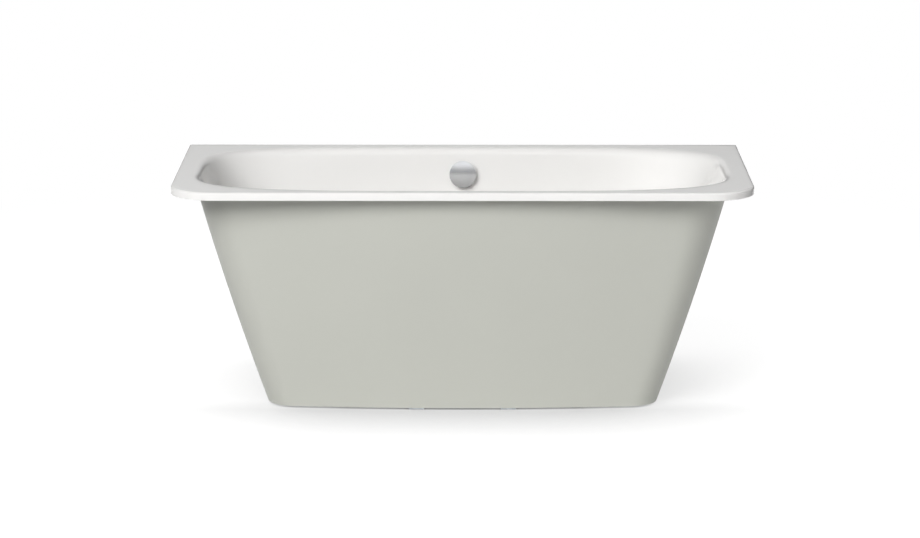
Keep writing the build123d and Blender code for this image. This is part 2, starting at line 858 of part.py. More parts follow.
# The drain: a chrome flange in the dish, clamped to the body below by its neck
flange_level = dish_level + flange_gasket
flange_top = flange_level + flange_thickness
neck_bottom = flange_top - neck_length
web_top = flange_top - web_drop
with BuildPart() as drain_flange_gasket:
    with BuildSketch(Plane.XY.offset(dish_level)):
        Circle(flange_radius)
        Circle(drain_hole_radius, mode=Mode.SUBTRACT)
    extrude(amount=flange_gasket)
drain_flange_gasket.part.label = "drain_flange_gasket"
export_step(drain_flange_gasket.part, "parts/drain_flange_gasket.step")

with BuildPart() as drain_strainer:
    with BuildSketch(Plane.XY.offset(flange_level)):
        Circle(flange_radius)
    extrude(amount=flange_thickness)
    fillet(drain_strainer.faces().sort_by(Axis.Z)[-1].edges(), flange_thickness / 3)
    with BuildSketch(Plane.XY.offset(flange_top - flange_thickness)):
        Circle(neck_radius)
    extrude(amount=neck_bottom - flange_level)
    with BuildSketch(Plane.XY.offset(flange_top)):
        Circle(neck_bore)
    extrude(amount=-neck_length, mode=Mode.SUBTRACT)
    with BuildSketch(Plane.XY.offset(web_top)):
        Rectangle((neck_bore + neck_radius), web_thickness)
        Rectangle(web_thickness, (neck_bore + neck_radius))
    extrude(amount=-web_depth)
    with BuildSketch(Plane.XY.offset(web_top)):
        Circle(guide_radius)
    extrude(amount=-guide_length)
    with BuildSketch(Plane.XY.offset(web_top)):
        Circle(stem_radius + running_gap)
    extrude(amount=-guide_length, mode=Mode.SUBTRACT)
drain_strainer.part.label = "drain_strainer"
export_step(drain_strainer.part, "parts/drain_strainer.step")

gasket_level = dish_underside - drain_gasket
with BuildPart() as drain_gasket_ring:
    with BuildSketch(Plane.XY.offset(gasket_level)):
        Circle(drain_flange_radius)
        Circle(drain_hole_radius, mode=Mode.SUBTRACT)
    extrude(amount=drain_gasket)
drain_gasket_ring.part.label = "drain_gasket"
export_step(drain_gasket_ring.part, "parts/drain_gasket.step")

# The drain body: a flanged cup with a hose inlet, a cable gland and a spigot for the trap
body_bottom = gasket_level - drain_body_height
cavity_radius = drain_body_radius - drain_body_wall
spigot_bottom = body_bottom - spigot_length
inlet_plane = Plane(origin=(0, cavity_radius, hose_level), x_dir=(1, 0, 0), z_dir=(0, 1, 0))
drain_gland_plane = Plane(origin=(cavity_radius, 0, cable_level), x_dir=(0, 1, 0), z_dir=(1, 0, 0))
inlet_end = cavity_radius + inlet_length
pin_half = sqrt(cavity_radius**2 - lever_arm**2) + pin_seat
with BuildPart() as drain_body:
    with BuildSketch(Plane.XY.offset(gasket_level)):
        Circle(drain_flange_radius)
    extrude(amount=-drain_flange)
    with BuildSketch(Plane.XY.offset(gasket_level)):
        Circle(drain_body_radius)
    extrude(amount=-drain_body_height)
    with BuildSketch(Plane.XY.offset(body_bottom)):
        Circle(pipe_radius)
    extrude(amount=-spigot_length)
    with BuildSketch(inlet_plane):
        Circle(hose_radius)
    extrude(amount=inlet_length)
    with BuildSketch(drain_gland_plane):
        Circle(gland_radius)
    extrude(amount=drain_body_wall + gland_length)
    with BuildSketch(Plane.XY.offset(gasket_level)):
        Circle(neck_radius + seat_gap)
    extrude(amount=-drain_flange * 2, mode=Mode.SUBTRACT)
    with BuildSketch(Plane.XY.offset(gasket_level - drain_flange * 2)):
        Circle(cavity_radius)
    extrude(amount=drain_flange * 2 + drain_floor - drain_body_height, mode=Mode.SUBTRACT)
    with BuildSketch(Plane.XY.offset(spigot_bottom)):
        Circle(pipe_bore)
    extrude(amount=spigot_length + drain_floor * 2, mode=Mode.SUBTRACT)
    with BuildSketch(inlet_plane.offset(-drain_body_wall)):
        Circle(hose_bore)
    extrude(amount=inlet_length + drain_body_wall + overrun, mode=Mode.SUBTRACT)
    with BuildSketch(drain_gland_plane.offset(-drain_body_wall)):
        Circle(cable_radius / 2)
    extrude(amount=gland_length + drain_body_wall * 2 + overrun, mode=Mode.SUBTRACT)
    with BuildSketch(Plane.XZ):
        with Locations((lever_arm, pivot_level)):
            Circle(pin_radius)
    extrude(amount=pin_half, both=True, mode=Mode.SUBTRACT)
drain_body.part.label = "drain_body"
export_step(drain_body.part, "parts/drain_body.step")

# The plug: a domed cap on a stem that slides in the strainer's guide, with a rubber seal below it
lever_swing = degrees(2 * atan(plug_lift / 2 / sqrt(lever_arm**2 - (plug_lift / 2) ** 2)))
roller_level = pivot_level - plug_lift / 2
stem_bottom = roller_level + roller_radius + seat_gap
cap_underside = flange_top + seat_gap
seal_bottom = cap_underside - seal_height
cap_edge_top = cap_underside + plug_edge
with BuildPart() as plug_cap:
    with BuildSketch(Plane.XZ):
        with BuildLine():
            crown = ThreePointArc(
                (0, cap_edge_top + plug_dome),
                ((plug_radius - plug_lip) / sqrt(2), cap_edge_top + plug_dome / 2),
                (plug_radius - plug_lip, cap_edge_top),
            )
            lip = RadiusArc(crown @ 1, (plug_radius, cap_edge_top - plug_lip), plug_lip)
            Polyline(lip @ 1, (plug_radius, cap_underside), (0, cap_underside), crown @ 0)
        make_face()
    revolve(axis=Axis.Z)
plug_cap.part.label = "plug_cap"
export_step(plug_cap.part, "parts/plug_cap.step")

with BuildPart() as plug_stem:
    with BuildSketch(Plane.XY.offset(cap_underside)):
        Circle(stem_radius)
    extrude(amount=stem_bottom - cap_underside)
plug_stem.part.label = "plug_stem"
export_step(plug_stem.part, "parts/plug_stem.step")

with BuildPart() as plug_seal:
    with BuildSketch(Plane.XY.offset(seal_bottom)):
        Circle(neck_bore - seat_gap)
        Circle(stem_radius, mode=Mode.SUBTRACT)
    extrude(amount=seal_height)
    chamfer(plug_seal.faces().sort_by(Axis.Z)[0].outer_wire().edges(), seal_height / 2)
plug_seal.part.label = "plug_seal"
export_step(plug_seal.part, "parts/plug_seal.step")

# The lever that lifts the stem, on a pin across the body: the cable draws its tail down
lever_plane = Plane(
    origin=(lever_arm, 0, pivot_level),
    x_dir=(-cos(radians(lever_swing / 2)), 0, -sin(radians(lever_swing / 2))),
    z_dir=(0, 1, 0),
)
with BuildPart() as lift_lever:
    with BuildSketch(lever_plane):
        with Locations(((lever_arm - lever_tail) / 2, 0)):
            SlotOverall(lever_arm + lever_tail + lever_thickness, lever_thickness)
        Circle(lever_boss_radius)
        with Locations((lever_arm, 0)):
            Circle(roller_radius)
        Circle(pin_radius + running_gap, mode=Mode.SUBTRACT)
    extrude(amount=lever_width / 2, both=True)
lift_lever.part.label = "lift_lever"
export_step(lift_lever.part, "parts/lift_lever.step")

with BuildPart() as lever_pin:
    with BuildSketch(Plane.XZ):
        with Locations((lever_arm, pivot_level)):
            Circle(pin_radius)
    extrude(amount=pin_half, both=True)
lever_pin.part.label = "lever_pin"
export_step(lever_pin.part, "parts/lever_pin.step")


def pipe(points, radii, outer, bore):
    """A pipe along straight runs joined by arcs, with its bore."""
    with BuildPart() as tube:
        with BuildLine():
            path = FilletPolyline(*points, radius=radii)
        with BuildSketch(Plane(origin=path @ 0, z_dir=path % 0)):
            Circle(outer)
            if bore > 0:
                Circle(bore, mode=Mode.SUBTRACT)
        sweep()
    section = pi * (outer**2 - bore**2)
    print("pipe", [round(radius, 1) for radius in radii], "length", round(path.length, 1))
    print("  volume", round(tube.part.volume), "section times length", round(section * path.length))
    return tube.part


# The hose from the overflow down behind the basin and forward to the drain
hose_start = outlet_plane.from_local_coords((0, 0, outlet_length))
hose_fall = (hose_start.Z - hose_level) / overflow.y_dir.Z
hose_corner = hose_start - overflow.y_dir * hose_fall
hose_points = [hose_start, hose_corner, Vector(0, inlet_end, hose_level)]
overflow_hose = pipe(hose_points, [hose_bend], hose_radius, hose_bore)
overflow_hose.label = "overflow_hose"
export_step(overflow_hose, "parts/overflow_hose.step")

# The nuts that hold the hose to both bodies
with BuildPart() as upper_hose_nut:
    with BuildSketch(outlet_plane.offset(outlet_length - hose_nut_overlap)):
        RegularPolygon(hose_nut_radius, nut_sides)
        Circle(hose_radius + seat_gap, mode=Mode.SUBTRACT)
    extrude(amount=hose_nut_length)
upper_hose_nut.part.label = "upper_hose_nut"
export_step(upper_hose_nut.part, "parts/upper_hose_nut.step")

with BuildPart() as lower_hose_nut:
    with BuildSketch(inlet_plane.offset(inlet_length - hose_nut_overlap)):
        RegularPolygon(hose_nut_radius, nut_sides)
        Circle(hose_radius + seat_gap, mode=Mode.SUBTRACT)
    extrude(amount=hose_nut_length)
lower_hose_nut.part.label = "lower_hose_nut"
export_step(lower_hose_nut.part, "parts/lower_hose_nut.step")

# The cable's route from the overflow's gland, down beside the hose and in to the drain's gland
cable_start = gland_plane.from_local_coords((0, 0, gland_reach))
cable_end = drain_gland_plane.from_local_coords((0, 0, drain_body_wall + gland_length))
cable_route = [cable_start]
for sideways, run_share, rise_share in cable_courses:
    run = cable_end.Y + (cable_start.Y - cable_end.Y) * run_share
    rise = cable_end.Z + (cable_start.Z - cable_end.Z) * rise_share
    cable_route.append(Vector(sideways, run, rise))
cable_route.append(cable_end)
cable_radii = []
for before, corner, after in zip(cable_route, cable_route[1:], cable_route[2:]):
    turn = radians((corner - before).get_angle(after - corner))
    shorter = min((corner - before).length, (after - corner).length)
    cable_radii.append(cable_bend_share * shorter / tan(turn / 2))
cable = pipe(cable_route, cable_radii, cable_radius, 0)
cable.label = "lift_cable"
export_step(cable, "parts/lift_cable.step")

# The trap: a pipe bent to hold water, with a cleaning eye at its lowest point
trap_floor = trap_floor_gap + pipe_radius
trap_points = [
    Vector(0, 0, spigot_bottom),
    Vector(0, 0, trap_floor),
    Vector(-trap_width, 0, trap_floor),
    Vector(-trap_width, 0, outlet_level),
    Vector(-trap_reach, 0, outlet_level),
]
with BuildPart() as trap:
    add(pipe(trap_points, [trap_bend, trap_bend, outlet_bend], pipe_radius, pipe_bore))
    with BuildSketch(Plane.XZ.offset(pipe_bore)):
        with Locations((-trap_width / 2, trap_floor)):
            Circle(eye_radius)
    extrude(amount=eye_length - pipe_bore)
    with BuildSketch(Plane.XZ.offset(0)):
        with Locations((-trap_width / 2, trap_floor)):
            Circle(eye_radius - (pipe_radius - pipe_bore))
    extrude(amount=eye_length, mode=Mode.SUBTRACT)
trap.part.label = "trap"
export_step(trap.part, "parts/trap.step")

with BuildPart() as cleaning_cap:
    with BuildSketch(Plane.XZ.offset(eye_length)):
        with Locations((-trap_width / 2, trap_floor)):
            RegularPolygon(eye_cap_radius, nut_sides)
    extrude(amount=eye_cap_thickness)
cleaning_cap.part.label = "cleaning_cap"
export_step(cleaning_cap.part, "parts/cleaning_cap.step")

# The union nuts at both ends of the trap
with BuildPart() as trap_union_nut:
    with BuildSketch(Plane.XY.offset(spigot_bottom + union_grip)):
        RegularPolygon(union_radius, nut_sides)
        Circle(pipe_radius + seat_gap, mode=Mode.SUBTRACT)
    extrude(amount=-union_length)
trap_union_nut.part.label = "trap_union_nut"
export_step(trap_union_nut.part, "parts/trap_union_nut.step")

with BuildPart() as outlet_union_nut:
    with BuildSketch(Plane.YZ.offset(union_grip - trap_reach)):
        with Locations((0, outlet_level)):
            RegularPolygon(union_radius, nut_sides)
            Circle(pipe_radius + seat_gap, mode=Mode.SUBTRACT)
    extrude(amount=-union_length)
outlet_union_nut.part.label = "outlet_union_nut"
export_step(outlet_union_nut.part, "parts/outlet_union_nut.step")

elbow_points = [
    Vector(-trap_reach, 0, outlet_level),
    Vector(-trap_reach - elbow_run, 0, outlet_level),
    Vector(-trap_reach - elbow_run, elbow_reach, outlet_level),
]
outlet_elbow = pipe(elbow_points, [elbow_bend], pipe_radius, pipe_bore)
outlet_elbow.label = "outlet_elbow"
export_step(outlet_elbow, "parts/outlet_elbow.step")
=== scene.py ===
# %% [markdown]
# # A wall-side bath with a tapered skirt
# The bath is a white enamelled steel tub that hangs its broad rim over a grey, tapered skirt. Under and
# behind them sit a levelling frame, the wall hooks and a cable-worked waste and overflow.
# The solids come packed from the CAD, and this script gives them their looks. Pieces whose shape
# follows a rule are grown by Geometry Nodes; the others keep their solid and get a better finish.

import json
from math import cos, pi, radians, sin, sqrt, tan

import bmesh
import bpy
from mathutils import Matrix, Vector

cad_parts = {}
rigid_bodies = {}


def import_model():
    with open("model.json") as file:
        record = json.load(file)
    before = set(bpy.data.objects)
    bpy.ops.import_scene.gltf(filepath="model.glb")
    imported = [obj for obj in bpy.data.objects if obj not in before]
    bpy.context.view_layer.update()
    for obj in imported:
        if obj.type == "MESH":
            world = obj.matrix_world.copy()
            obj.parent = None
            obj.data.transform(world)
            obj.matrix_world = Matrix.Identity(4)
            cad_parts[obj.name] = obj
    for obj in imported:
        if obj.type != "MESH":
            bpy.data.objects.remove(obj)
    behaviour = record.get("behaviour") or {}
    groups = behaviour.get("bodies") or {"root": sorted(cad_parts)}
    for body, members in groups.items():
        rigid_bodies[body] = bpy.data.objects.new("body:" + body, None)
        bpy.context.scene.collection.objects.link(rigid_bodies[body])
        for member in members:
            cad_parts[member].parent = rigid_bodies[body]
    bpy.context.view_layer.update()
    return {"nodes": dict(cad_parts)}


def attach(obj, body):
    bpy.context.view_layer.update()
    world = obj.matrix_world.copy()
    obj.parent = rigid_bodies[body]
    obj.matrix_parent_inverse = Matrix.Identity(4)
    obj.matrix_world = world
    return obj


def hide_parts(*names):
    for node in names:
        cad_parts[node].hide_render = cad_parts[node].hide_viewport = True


for thing in list(bpy.data.objects):
    bpy.data.objects.remove(thing)
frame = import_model()
nodes = frame["nodes"]
for node in nodes.values():
    node.data.materials.clear()
for plain in list(bpy.data.materials):
    bpy.data.materials.remove(plain)

# %% [markdown]
# ## The view
# The photograph is taken from in front, a little above the rim, with a long lens, so both ends of the
# rim look nearly parallel. The camera stands where the rim's corners, the skirt's outline and its base
# line all fall on their places in the picture. Standard view keeps colours as they are written.

# %% Camera
scene = bpy.context.scene
scene.view_settings.view_transform = "Standard"
camera_tilt = radians(12.3)
camera_yaw = radians(-0.171)
sensor_width = 36
picture_width = 920
focal_pixels = 3337
camera_data = bpy.data.cameras.new("camera")
camera_data.sensor_width = sensor_width
camera_data.lens = sensor_width * focal_pixels / picture_width
camera = bpy.data.objects.new("camera", camera_data)
camera.location = (0.019, -8.665, 2.216)
camera.rotation_euler = (pi / 2 - camera_tilt, 0, -camera_yaw)
scene.collection.objects.link(camera)
scene.camera = camera
print("lens", round(camera_data.lens, 1), "mm")

# %% [markdown]
# ## Sums that turn into nodes
# A node tree is quicker to read as a formula than as forty calls. A Wire stands for one socket: adding,
# multiplying or comparing wires places the Math nodes and links them. The same class serves the
# Geometry Nodes that shape the bath and the Shader Nodes that colour it.


# %% Wire: one socket with Python's operators
class Wire:
    def __init__(self, board, socket):
        self.board = board
        self.socket = socket

    def math(self, operation, *others):
        values = dict(enumerate((self,) + others))
        return self.board.add("ShaderNodeMath", values, operation=operation)[0]

    def flipped(self, operation, other):
        return self.board.add("ShaderNodeMath", {0: other, 1: self}, operation=operation)[0]

    def __add__(self, other):
        return self.math("ADD", other)

    def __radd__(self, other):
        return self.flipped("ADD", other)

    def __sub__(self, other):
        return self.math("SUBTRACT", other)

    def __rsub__(self, other):
        return self.flipped("SUBTRACT", other)

    def __mul__(self, other):
        return self.math("MULTIPLY", other)

    def __rmul__(self, other):
        return self.flipped("MULTIPLY", other)

    def __truediv__(self, other):
        return self.math("DIVIDE", other)

    def __rtruediv__(self, other):
        return self.flipped("DIVIDE", other)

    def __pow__(self, other):
        return self.math("POWER", other)

    def __abs__(self):
        return self.math("ABSOLUTE")

    def __lt__(self, other):
        return self.math("LESS_THAN", other)

    def __gt__(self, other):
        return self.math("GREATER_THAN", other)


# %% Board: a node tree that hands out wires
class Board:
    def __init__(self, tree):
        self.tree = tree
        tree.nodes.clear()

    def add(self, kind, values=None, **settings):
        node = self.tree.nodes.new(kind)
        for name, value in settings.items():
            setattr(node, name, value)
        for key, value in (values or {}).items():
            socket = node.inputs[key]
            if isinstance(value, Wire):
                self.tree.links.new(value.socket, socket)
            else:
                socket.default_value = value
        return [Wire(self, socket) for socket in node.outputs]

    def mix(self, share, low, high):
        """A colour between two others."""
        values = {0: share, 6: low, 7: high}
        return self.add("ShaderNodeMix", values, data_type="RGBA", clamp_factor=True)[2]


# %% Functions on wires
def sine(value):
    return value.math("SINE") if isinstance(value, Wire) else sin(value)


def cosine(value):
    return value.math("COSINE") if isinstance(value, Wire) else cos(value)


def tangent(value):
    return value.math("TANGENT") if isinstance(value, Wire) else tan(value)


def root(value):
    return value.math("SQRT") if isinstance(value, Wire) else sqrt(value)


def either(test, yes, no):
    """The first value where the test is one, and the second where it is nought."""
    return no + (yes - no) * test


def smooth(value):
    """A soft step from nought to one."""
    held = value.math("MAXIMUM", 0.0).math("MINIMUM", 1.0)
    return held * held * (3.0 - held * 2.0)


print("wires ready")

# %% [markdown]
# ## Growing a piece in a node tree
# Each grown piece starts as flat grids. A grid's own x and y, from nought to one, run along the piece
# and across its profile, and Set Position bends it into place. The strips are joined and their shared
# edges merged, so the sheet closes. The result is read back as a plain mesh, because the export and the
# frame both want plain meshes.


# %% Trees with named inputs
def sized_tree(name, sizes):
    """A tree with a named input for each size, and the wires of those inputs."""
    tree = bpy.data.node_groups.new(name, "GeometryNodeTree")
    board = Board(tree)
    tree.interface.new_socket("Geometry", in_out="OUTPUT", socket_type="NodeSocketGeometry")
    for label, value in sizes.items():
        socket = tree.interface.new_socket(label, in_out="INPUT", socket_type="NodeSocketFloat")
        socket.default_value = value
    entry = tree.nodes.new("NodeGroupInput")
    return board, {label: Wire(board, entry.outputs[label]) for label in sizes}


def give_out(board, geometry):
    exit_node = board.tree.nodes.new("NodeGroupOutput")
    board.tree.links.new(geometry.socket, exit_node.inputs[0])


# %% Grow: a piece made of strips of grid, each bent by a node group of its own
class Grow:
    def __init__(self, name, sizes):
        self.name = name
        self.sizes = sizes
        self.board, self.entry = sized_tree(name, sizes)
        self.wires = self.entry
        self.strips = []

    def __getitem__(self, label):
        return self.wires[label]

    def strip(self, columns, rows, place, material):
        """A grid bent by place(u, v), which gives x, y and z. It is a node group of its own."""
        board, self.wires = sized_tree(f"{self.name}_{place.__name__}", self.sizes)
        grid = {"Size X": 1.0, "Size Y": 1.0, "Vertices X": columns + 1, "Vertices Y": rows + 1}
        mesh = board.add("GeometryNodeMeshGrid", grid)[0]
        spot = board.add("GeometryNodeInputPosition")[0]
        flat = board.add("ShaderNodeSeparateXYZ", {0: spot})
        x, y, z = place(flat[0] + 0.5, flat[1] + 0.5)
        bent = board.add("ShaderNodeCombineXYZ", {0: x, 1: y, 2: z})[0]
        mesh = board.add("GeometryNodeSetPosition", {"Geometry": mesh, "Position": bent})[0]
        paint = {"Geometry": mesh, "Material": material}
        give_out(board, board.add("GeometryNodeSetMaterial", paint)[0])
        self.wires = self.entry
        group = self.board.add("GeometryNodeGroup", self.entry, node_tree=board.tree)
        self.strips.append(group[0])

    def joined(self, gap=5e-5):
        """All strips as one mesh, with their common edges merged."""
        join = self.board.tree.nodes.new("GeometryNodeJoinGeometry")
        for strip in reversed(self.strips):
            self.board.tree.links.new(strip.socket, join.inputs[0])
        merge = {"Geometry": Wire(self.board, join.outputs[0]), "Distance": gap}
        return self.board.add("GeometryNodeMergeByDistance", merge)[0]


# %% Harvest: what a tree grows, as a plain mesh
def harvest(board, sizes, name, geometry, keep_sharp=40):
    """Runs a tree and gives its result back as an object with a plain mesh."""
    give_out(board, board.add("GeometryNodeRealizeInstances", {"Geometry": geometry})[0])
    carrier = bpy.data.objects.new(name + "_carrier", bpy.data.meshes.new(name + "_seed"))
    scene.collection.objects.link(carrier)
    modifier = carrier.modifiers.new("grow", "NODES")
    modifier.node_group = board.tree
    for socket in board.tree.interface.items_tree:
        if socket.in_out == "INPUT":
            modifier[socket.identifier] = sizes[socket.name]
    bpy.context.view_layer.update()
    evaluated = carrier.evaluated_get(bpy.context.evaluated_depsgraph_get())
    mesh = bpy.data.meshes.new_from_object(evaluated)
    bpy.data.objects.remove(carrier)
    piece = bpy.data.objects.new(name, mesh)
    scene.collection.objects.link(piece)
    tidy_mesh(piece, keep_sharp)
    return piece


# %% Tidy a mesh: outward faces, smooth shading, sharp folds kept
def tidy_mesh(piece, keep_sharp=40):
    mesh = piece.data
    form = bmesh.new()
    form.from_mesh(mesh)
    bmesh.ops.remove_doubles(form, verts=form.verts, dist=1e-6)
    bmesh.ops.dissolve_degenerate(form, edges=form.edges, dist=1e-7)
    bmesh.ops.recalc_face_normals(form, faces=form.faces)
    limit = radians(keep_sharp)
    for face in form.faces:
        face.smooth = True
    for edge in form.edges:
        edge.smooth = len(edge.link_faces) != 2 or edge.calc_face_angle(0) < limit
    loose = sum(len(edge.link_faces) != 2 for edge in form.edges)
    form.to_mesh(mesh)
    form.free()
    size = [round(c * 1000, 1) for c in piece.dimensions]
    print(piece.name, "faces", len(mesh.polygons), "open edges", loose, "size", size, "mm")


# %% [markdown]
# ## Finishes
# Vitreous enamel is glass fused to steel: bright, glossy and never quite flat, with a faint ripple.
# The skirt has a satin coat whose grain scatters the light. Each finish reads the piece's own
# coordinates, so the grain has its real size and stays put when a piece moves.


# %% Helpers for finishes
def linear(red, green, blue):
    """A colour as a picture shows it, from 0 to 255, turned into the light it stands for."""
    values = []
    for part in (red, green, blue):
        share = part / 255
        values.append(share / 12.92 if share <= 0.04045 else ((share + 0.055) / 1.055) ** 2.4)
    return (*values, 1)


class Finish(Board):
    def __init__(self, name, **constants):
        self.material = bpy.data.materials.new(name)
        self.material.use_nodes = True
        super().__init__(self.material.node_tree)
        self.shader = self.tree.nodes.new("ShaderNodeBsdfPrincipled")
        exit_node = self.tree.nodes.new("ShaderNodeOutputMaterial")
        self.tree.links.new(self.shader.outputs[0], exit_node.inputs["Surface"])
        for label, value in constants.items():
            self.shader.inputs[label.replace("_", " ")].default_value = value
        self.spot = self.add("ShaderNodeTexCoord")[3]

    def noise(self, scale, detail=2.0, rough=0.5, stretch=None):
        spot = self.spot
        if stretch:
            spot = self.add("ShaderNodeMapping", {0: spot, "Scale": stretch})[0]
        values = {"Vector": spot, "Scale": scale, "Detail": detail, "Roughness": rough}
        return self.add("ShaderNodeTexNoise", values)[0]

    def cells(self, scale):
        return self.add("ShaderNodeTexVoronoi", {"Vector": self.spot, "Scale": scale})

    def set(self, **wires):
        for label, wire in wires.items():
            self.tree.links.new(wire.socket, self.shader.inputs[label.replace("_", " ")])
        return self.material

    def bump(self, height, strength, depth):
        values = {"Strength": strength, "Distance": depth, "Height": height}
        return self.add("ShaderNodeBump", values)[0]


# %% White enamel and its grey ground coat
def white_enamel():
    finish = Finish("white_enamel", IOR=1.52)
    cloud = finish.noise(2.2, 3.0)
    ripple = finish.noise(38.0, 2.0)
    peel = finish.noise(420.0, 1.0)
    colour = finish.mix(cloud, linear(244, 243, 241), linear(248, 247, 245))
    relief = finish.bump(ripple * 0.8 + peel * 0.2, 0.12, 0.0004)
    return finish.set(Base_Color=colour, Roughness=0.07 + ripple * 0.06, Normal=relief)


def ground_enamel():
    finish = Finish("ground_enamel", IOR=1.5)
    cloud = finish.noise(6.0, 4.0)
    fleck = finish.noise(900.0, 2.0, 0.7)
    dusk = finish.mix(cloud, linear(70, 78, 88), linear(96, 103, 110))
    colour = finish.mix(smooth((fleck - 0.58) * 8.0), dusk, linear(176, 180, 182))
    relief = finish.bump(fleck * 0.5 + cloud * 0.5, 0.2, 0.0003)
    return finish.set(Base_Color=colour, Roughness=0.28 + fleck * 0.25, Normal=relief)


# %% Satin coat of the skirt
def satin_coat():
    finish = Finish("grey_enamel", IOR=1.5)
    cloud = finish.noise(3.0, 3.0)
    grain = finish.noise(650.0, 2.0, 0.6)
    colour = finish.mix(cloud, linear(198, 199, 191), linear(203, 204, 196))
    relief = finish.bump(grain, 0.15, 0.0002)
    return finish.set(Base_Color=colour, Roughness=0.36 + grain * 0.16, Normal=relief)


# %% Metals
def chrome():
    finish = Finish("chrome", Metallic=1.0)
    cloud = finish.noise(30.0, 2.0)
    haze = finish.noise(700.0, 2.0)
    colour = finish.mix(cloud, linear(226, 228, 231), linear(234, 235, 237))
    relief = finish.bump(cloud, 0.03, 0.0003)
    return finish.set(Base_Color=colour, Roughness=0.12 + haze * 0.08, Normal=relief)


def galvanised():
    finish = Finish("zinc_steel", Metallic=1.0)
    spangle = finish.cells(140.0)
    tone = finish.add("ShaderNodeSeparateColor", {0: spangle[1]})[0]
    scuff = finish.noise(60.0, 4.0, 0.6, stretch=(1.0, 0.2, 1.0))
    colour = finish.mix(tone, linear(158, 162, 166), linear(196, 199, 202))
    relief = finish.bump(tone * 0.6 + scuff * 0.4, 0.15, 0.0002)
    return finish.set(Base_Color=colour, Roughness=0.3 + tone * 0.15 + scuff * 0.15, Normal=relief)


def brass():
    finish = Finish("brass", Metallic=1.0)
    cloud = finish.noise(90.0, 3.0)
    turning = finish.noise(600.0, 2.0, stretch=(0.1, 0.1, 1.0))
    colour = finish.mix(cloud, linear(196, 164, 96), linear(214, 184, 118))
    relief = finish.bump(turning, 0.15, 0.0002)
    return finish.set(Base_Color=colour, Roughness=0.22 + turning * 0.2, Normal=relief)


# %% Plastics
def moulded(name, dark, light, rough):
    """A moulded plastic: even colour, faint flow clouds and a fine grain."""
    finish = Finish(name, IOR=1.48)
    cloud = finish.noise(25.0, 3.0)
    grain = finish.noise(500.0, 2.0, 0.6)
    colour = finish.mix(cloud, linear(*dark), linear(*light))
    relief = finish.bump(grain, 0.12, 0.0002)
    return finish.set(Base_Color=colour, Roughness=rough + grain * 0.15, Normal=relief)


# %% Rubber and bitumen
def rubber():
    finish = Finish("black_rubber", IOR=1.45)
    bloom = finish.noise(35.0, 4.0, 0.6)
    grain = finish.noise(800.0, 2.0)
    colour = finish.mix(bloom, linear(28, 28, 29), linear(52, 52, 53))
    relief = finish.bump(grain, 0.25, 0.0003)
    return finish.set(Base_Color=colour, Roughness=0.62 + grain * 0.25, Normal=relief)


def bitumen():
    finish = Finish("bitumen", IOR=1.45)
    blot = finish.noise(30.0, 4.0)
    emboss = finish.cells(160.0)[0]
    colour = finish.mix(blot, linear(34, 33, 32), linear(58, 56, 54))
    relief = finish.bump(emboss, 0.5, 0.0008)
    return finish.set(Base_Color=colour, Roughness=0.7 + blot * 0.2, Normal=relief)


# %% The finishes by slot
finishes = {
    "white_enamel": white_enamel(),
    "ground_enamel": ground_enamel(),
    "grey_enamel": satin_coat(),
    "chrome": chrome(),
    "plate_plastic": moulded("plate_plastic", (186, 187, 188), (198, 199, 200), 0.3),
    "black_plastic": moulded("black_plastic", (24, 24, 26), (38, 38, 40), 0.38),
    "white_plastic": moulded("white_plastic", (228, 229, 226), (238, 238, 235), 0.32),
    "grey_plastic": moulded("grey_plastic", (112, 115, 118), (128, 131, 134), 0.36),
    "foot_plastic": moulded("foot_plastic", (40, 42, 45), (56, 58, 61), 0.45),
    "cable_sheath": moulded("cable_sheath", (222, 222, 218), (232, 232, 229), 0.4),
    "black_rubber": rubber(),
    "bitumen": bitumen(),
    "brass": brass(),
    "zinc_steel": galvanised(),
}
print("finishes", len(finishes))

# %% [markdown]
# ## The tub
# The real tub is one steel blank, drawn in a press and enamelled. Its outlines are superellipses that
# shrink and round off towards the floor, and its profile is the same all round: a turned-down edge,
# a flat rim, a roll-over, a leaning wall and a rounding into the floor. That is a rule, so the tub is
# grown: one strip of the grid for each stretch of the profile, first for the face that is seen and then,
# a sheet's thickness further, for the one below.

# %% Sizes of the tub, in metres
tub_sizes = {
    "Length": 1.5,
    "Depth": 0.7,
    "Height": 0.6,
    "Sheet": 0.0035,
    "Band": 0.02,
    "Edge radius": 0.0055,
    "Front corner": 0.115,
    "Rear corner": 0.004,
    "Roll radius": 0.025,
    "Opening length": 0.705,
    "Opening depth": 0.324,
    "Opening exponent": 3.9,
    "Floor exponent": 3.2,
    "Basin depth": 0.435,
    "End slope": radians(30),
    "Side slope": radians(8),
    "Floor radius": 0.08,
    "Dish depth": 0.004,
    "Drain radius": 0.026,
}
columns_round = 256
steepest = radians(82)
tub_grow = Grow("tub_rule", tub_sizes)


def floor_height():
    return tub_grow["Height"] - tub_grow["Basin depth"]


# %% Outlines round the tub
even_share = 0.36


def round_angle(u):
    """The way round, with the columns drawn together towards the corners."""
    turns = u * 4.0
    quarter = turns.math("FLOOR")
    side = (turns - quarter) * 2.0 - 1.0
    drawn = side * (even_share + side * side * (1.0 - even_share))
    return (quarter + 0.5 + drawn * 0.5) * (pi / 2)


def superellipse(u, half_length, half_depth, exponent):
    angle = round_angle(u)
    across = cosine(angle)
    along = sine(angle)
    span = (abs(across) ** exponent + abs(along) ** exponent) ** (1.0 / exponent)
    return half_length * across / span, half_depth * along / span


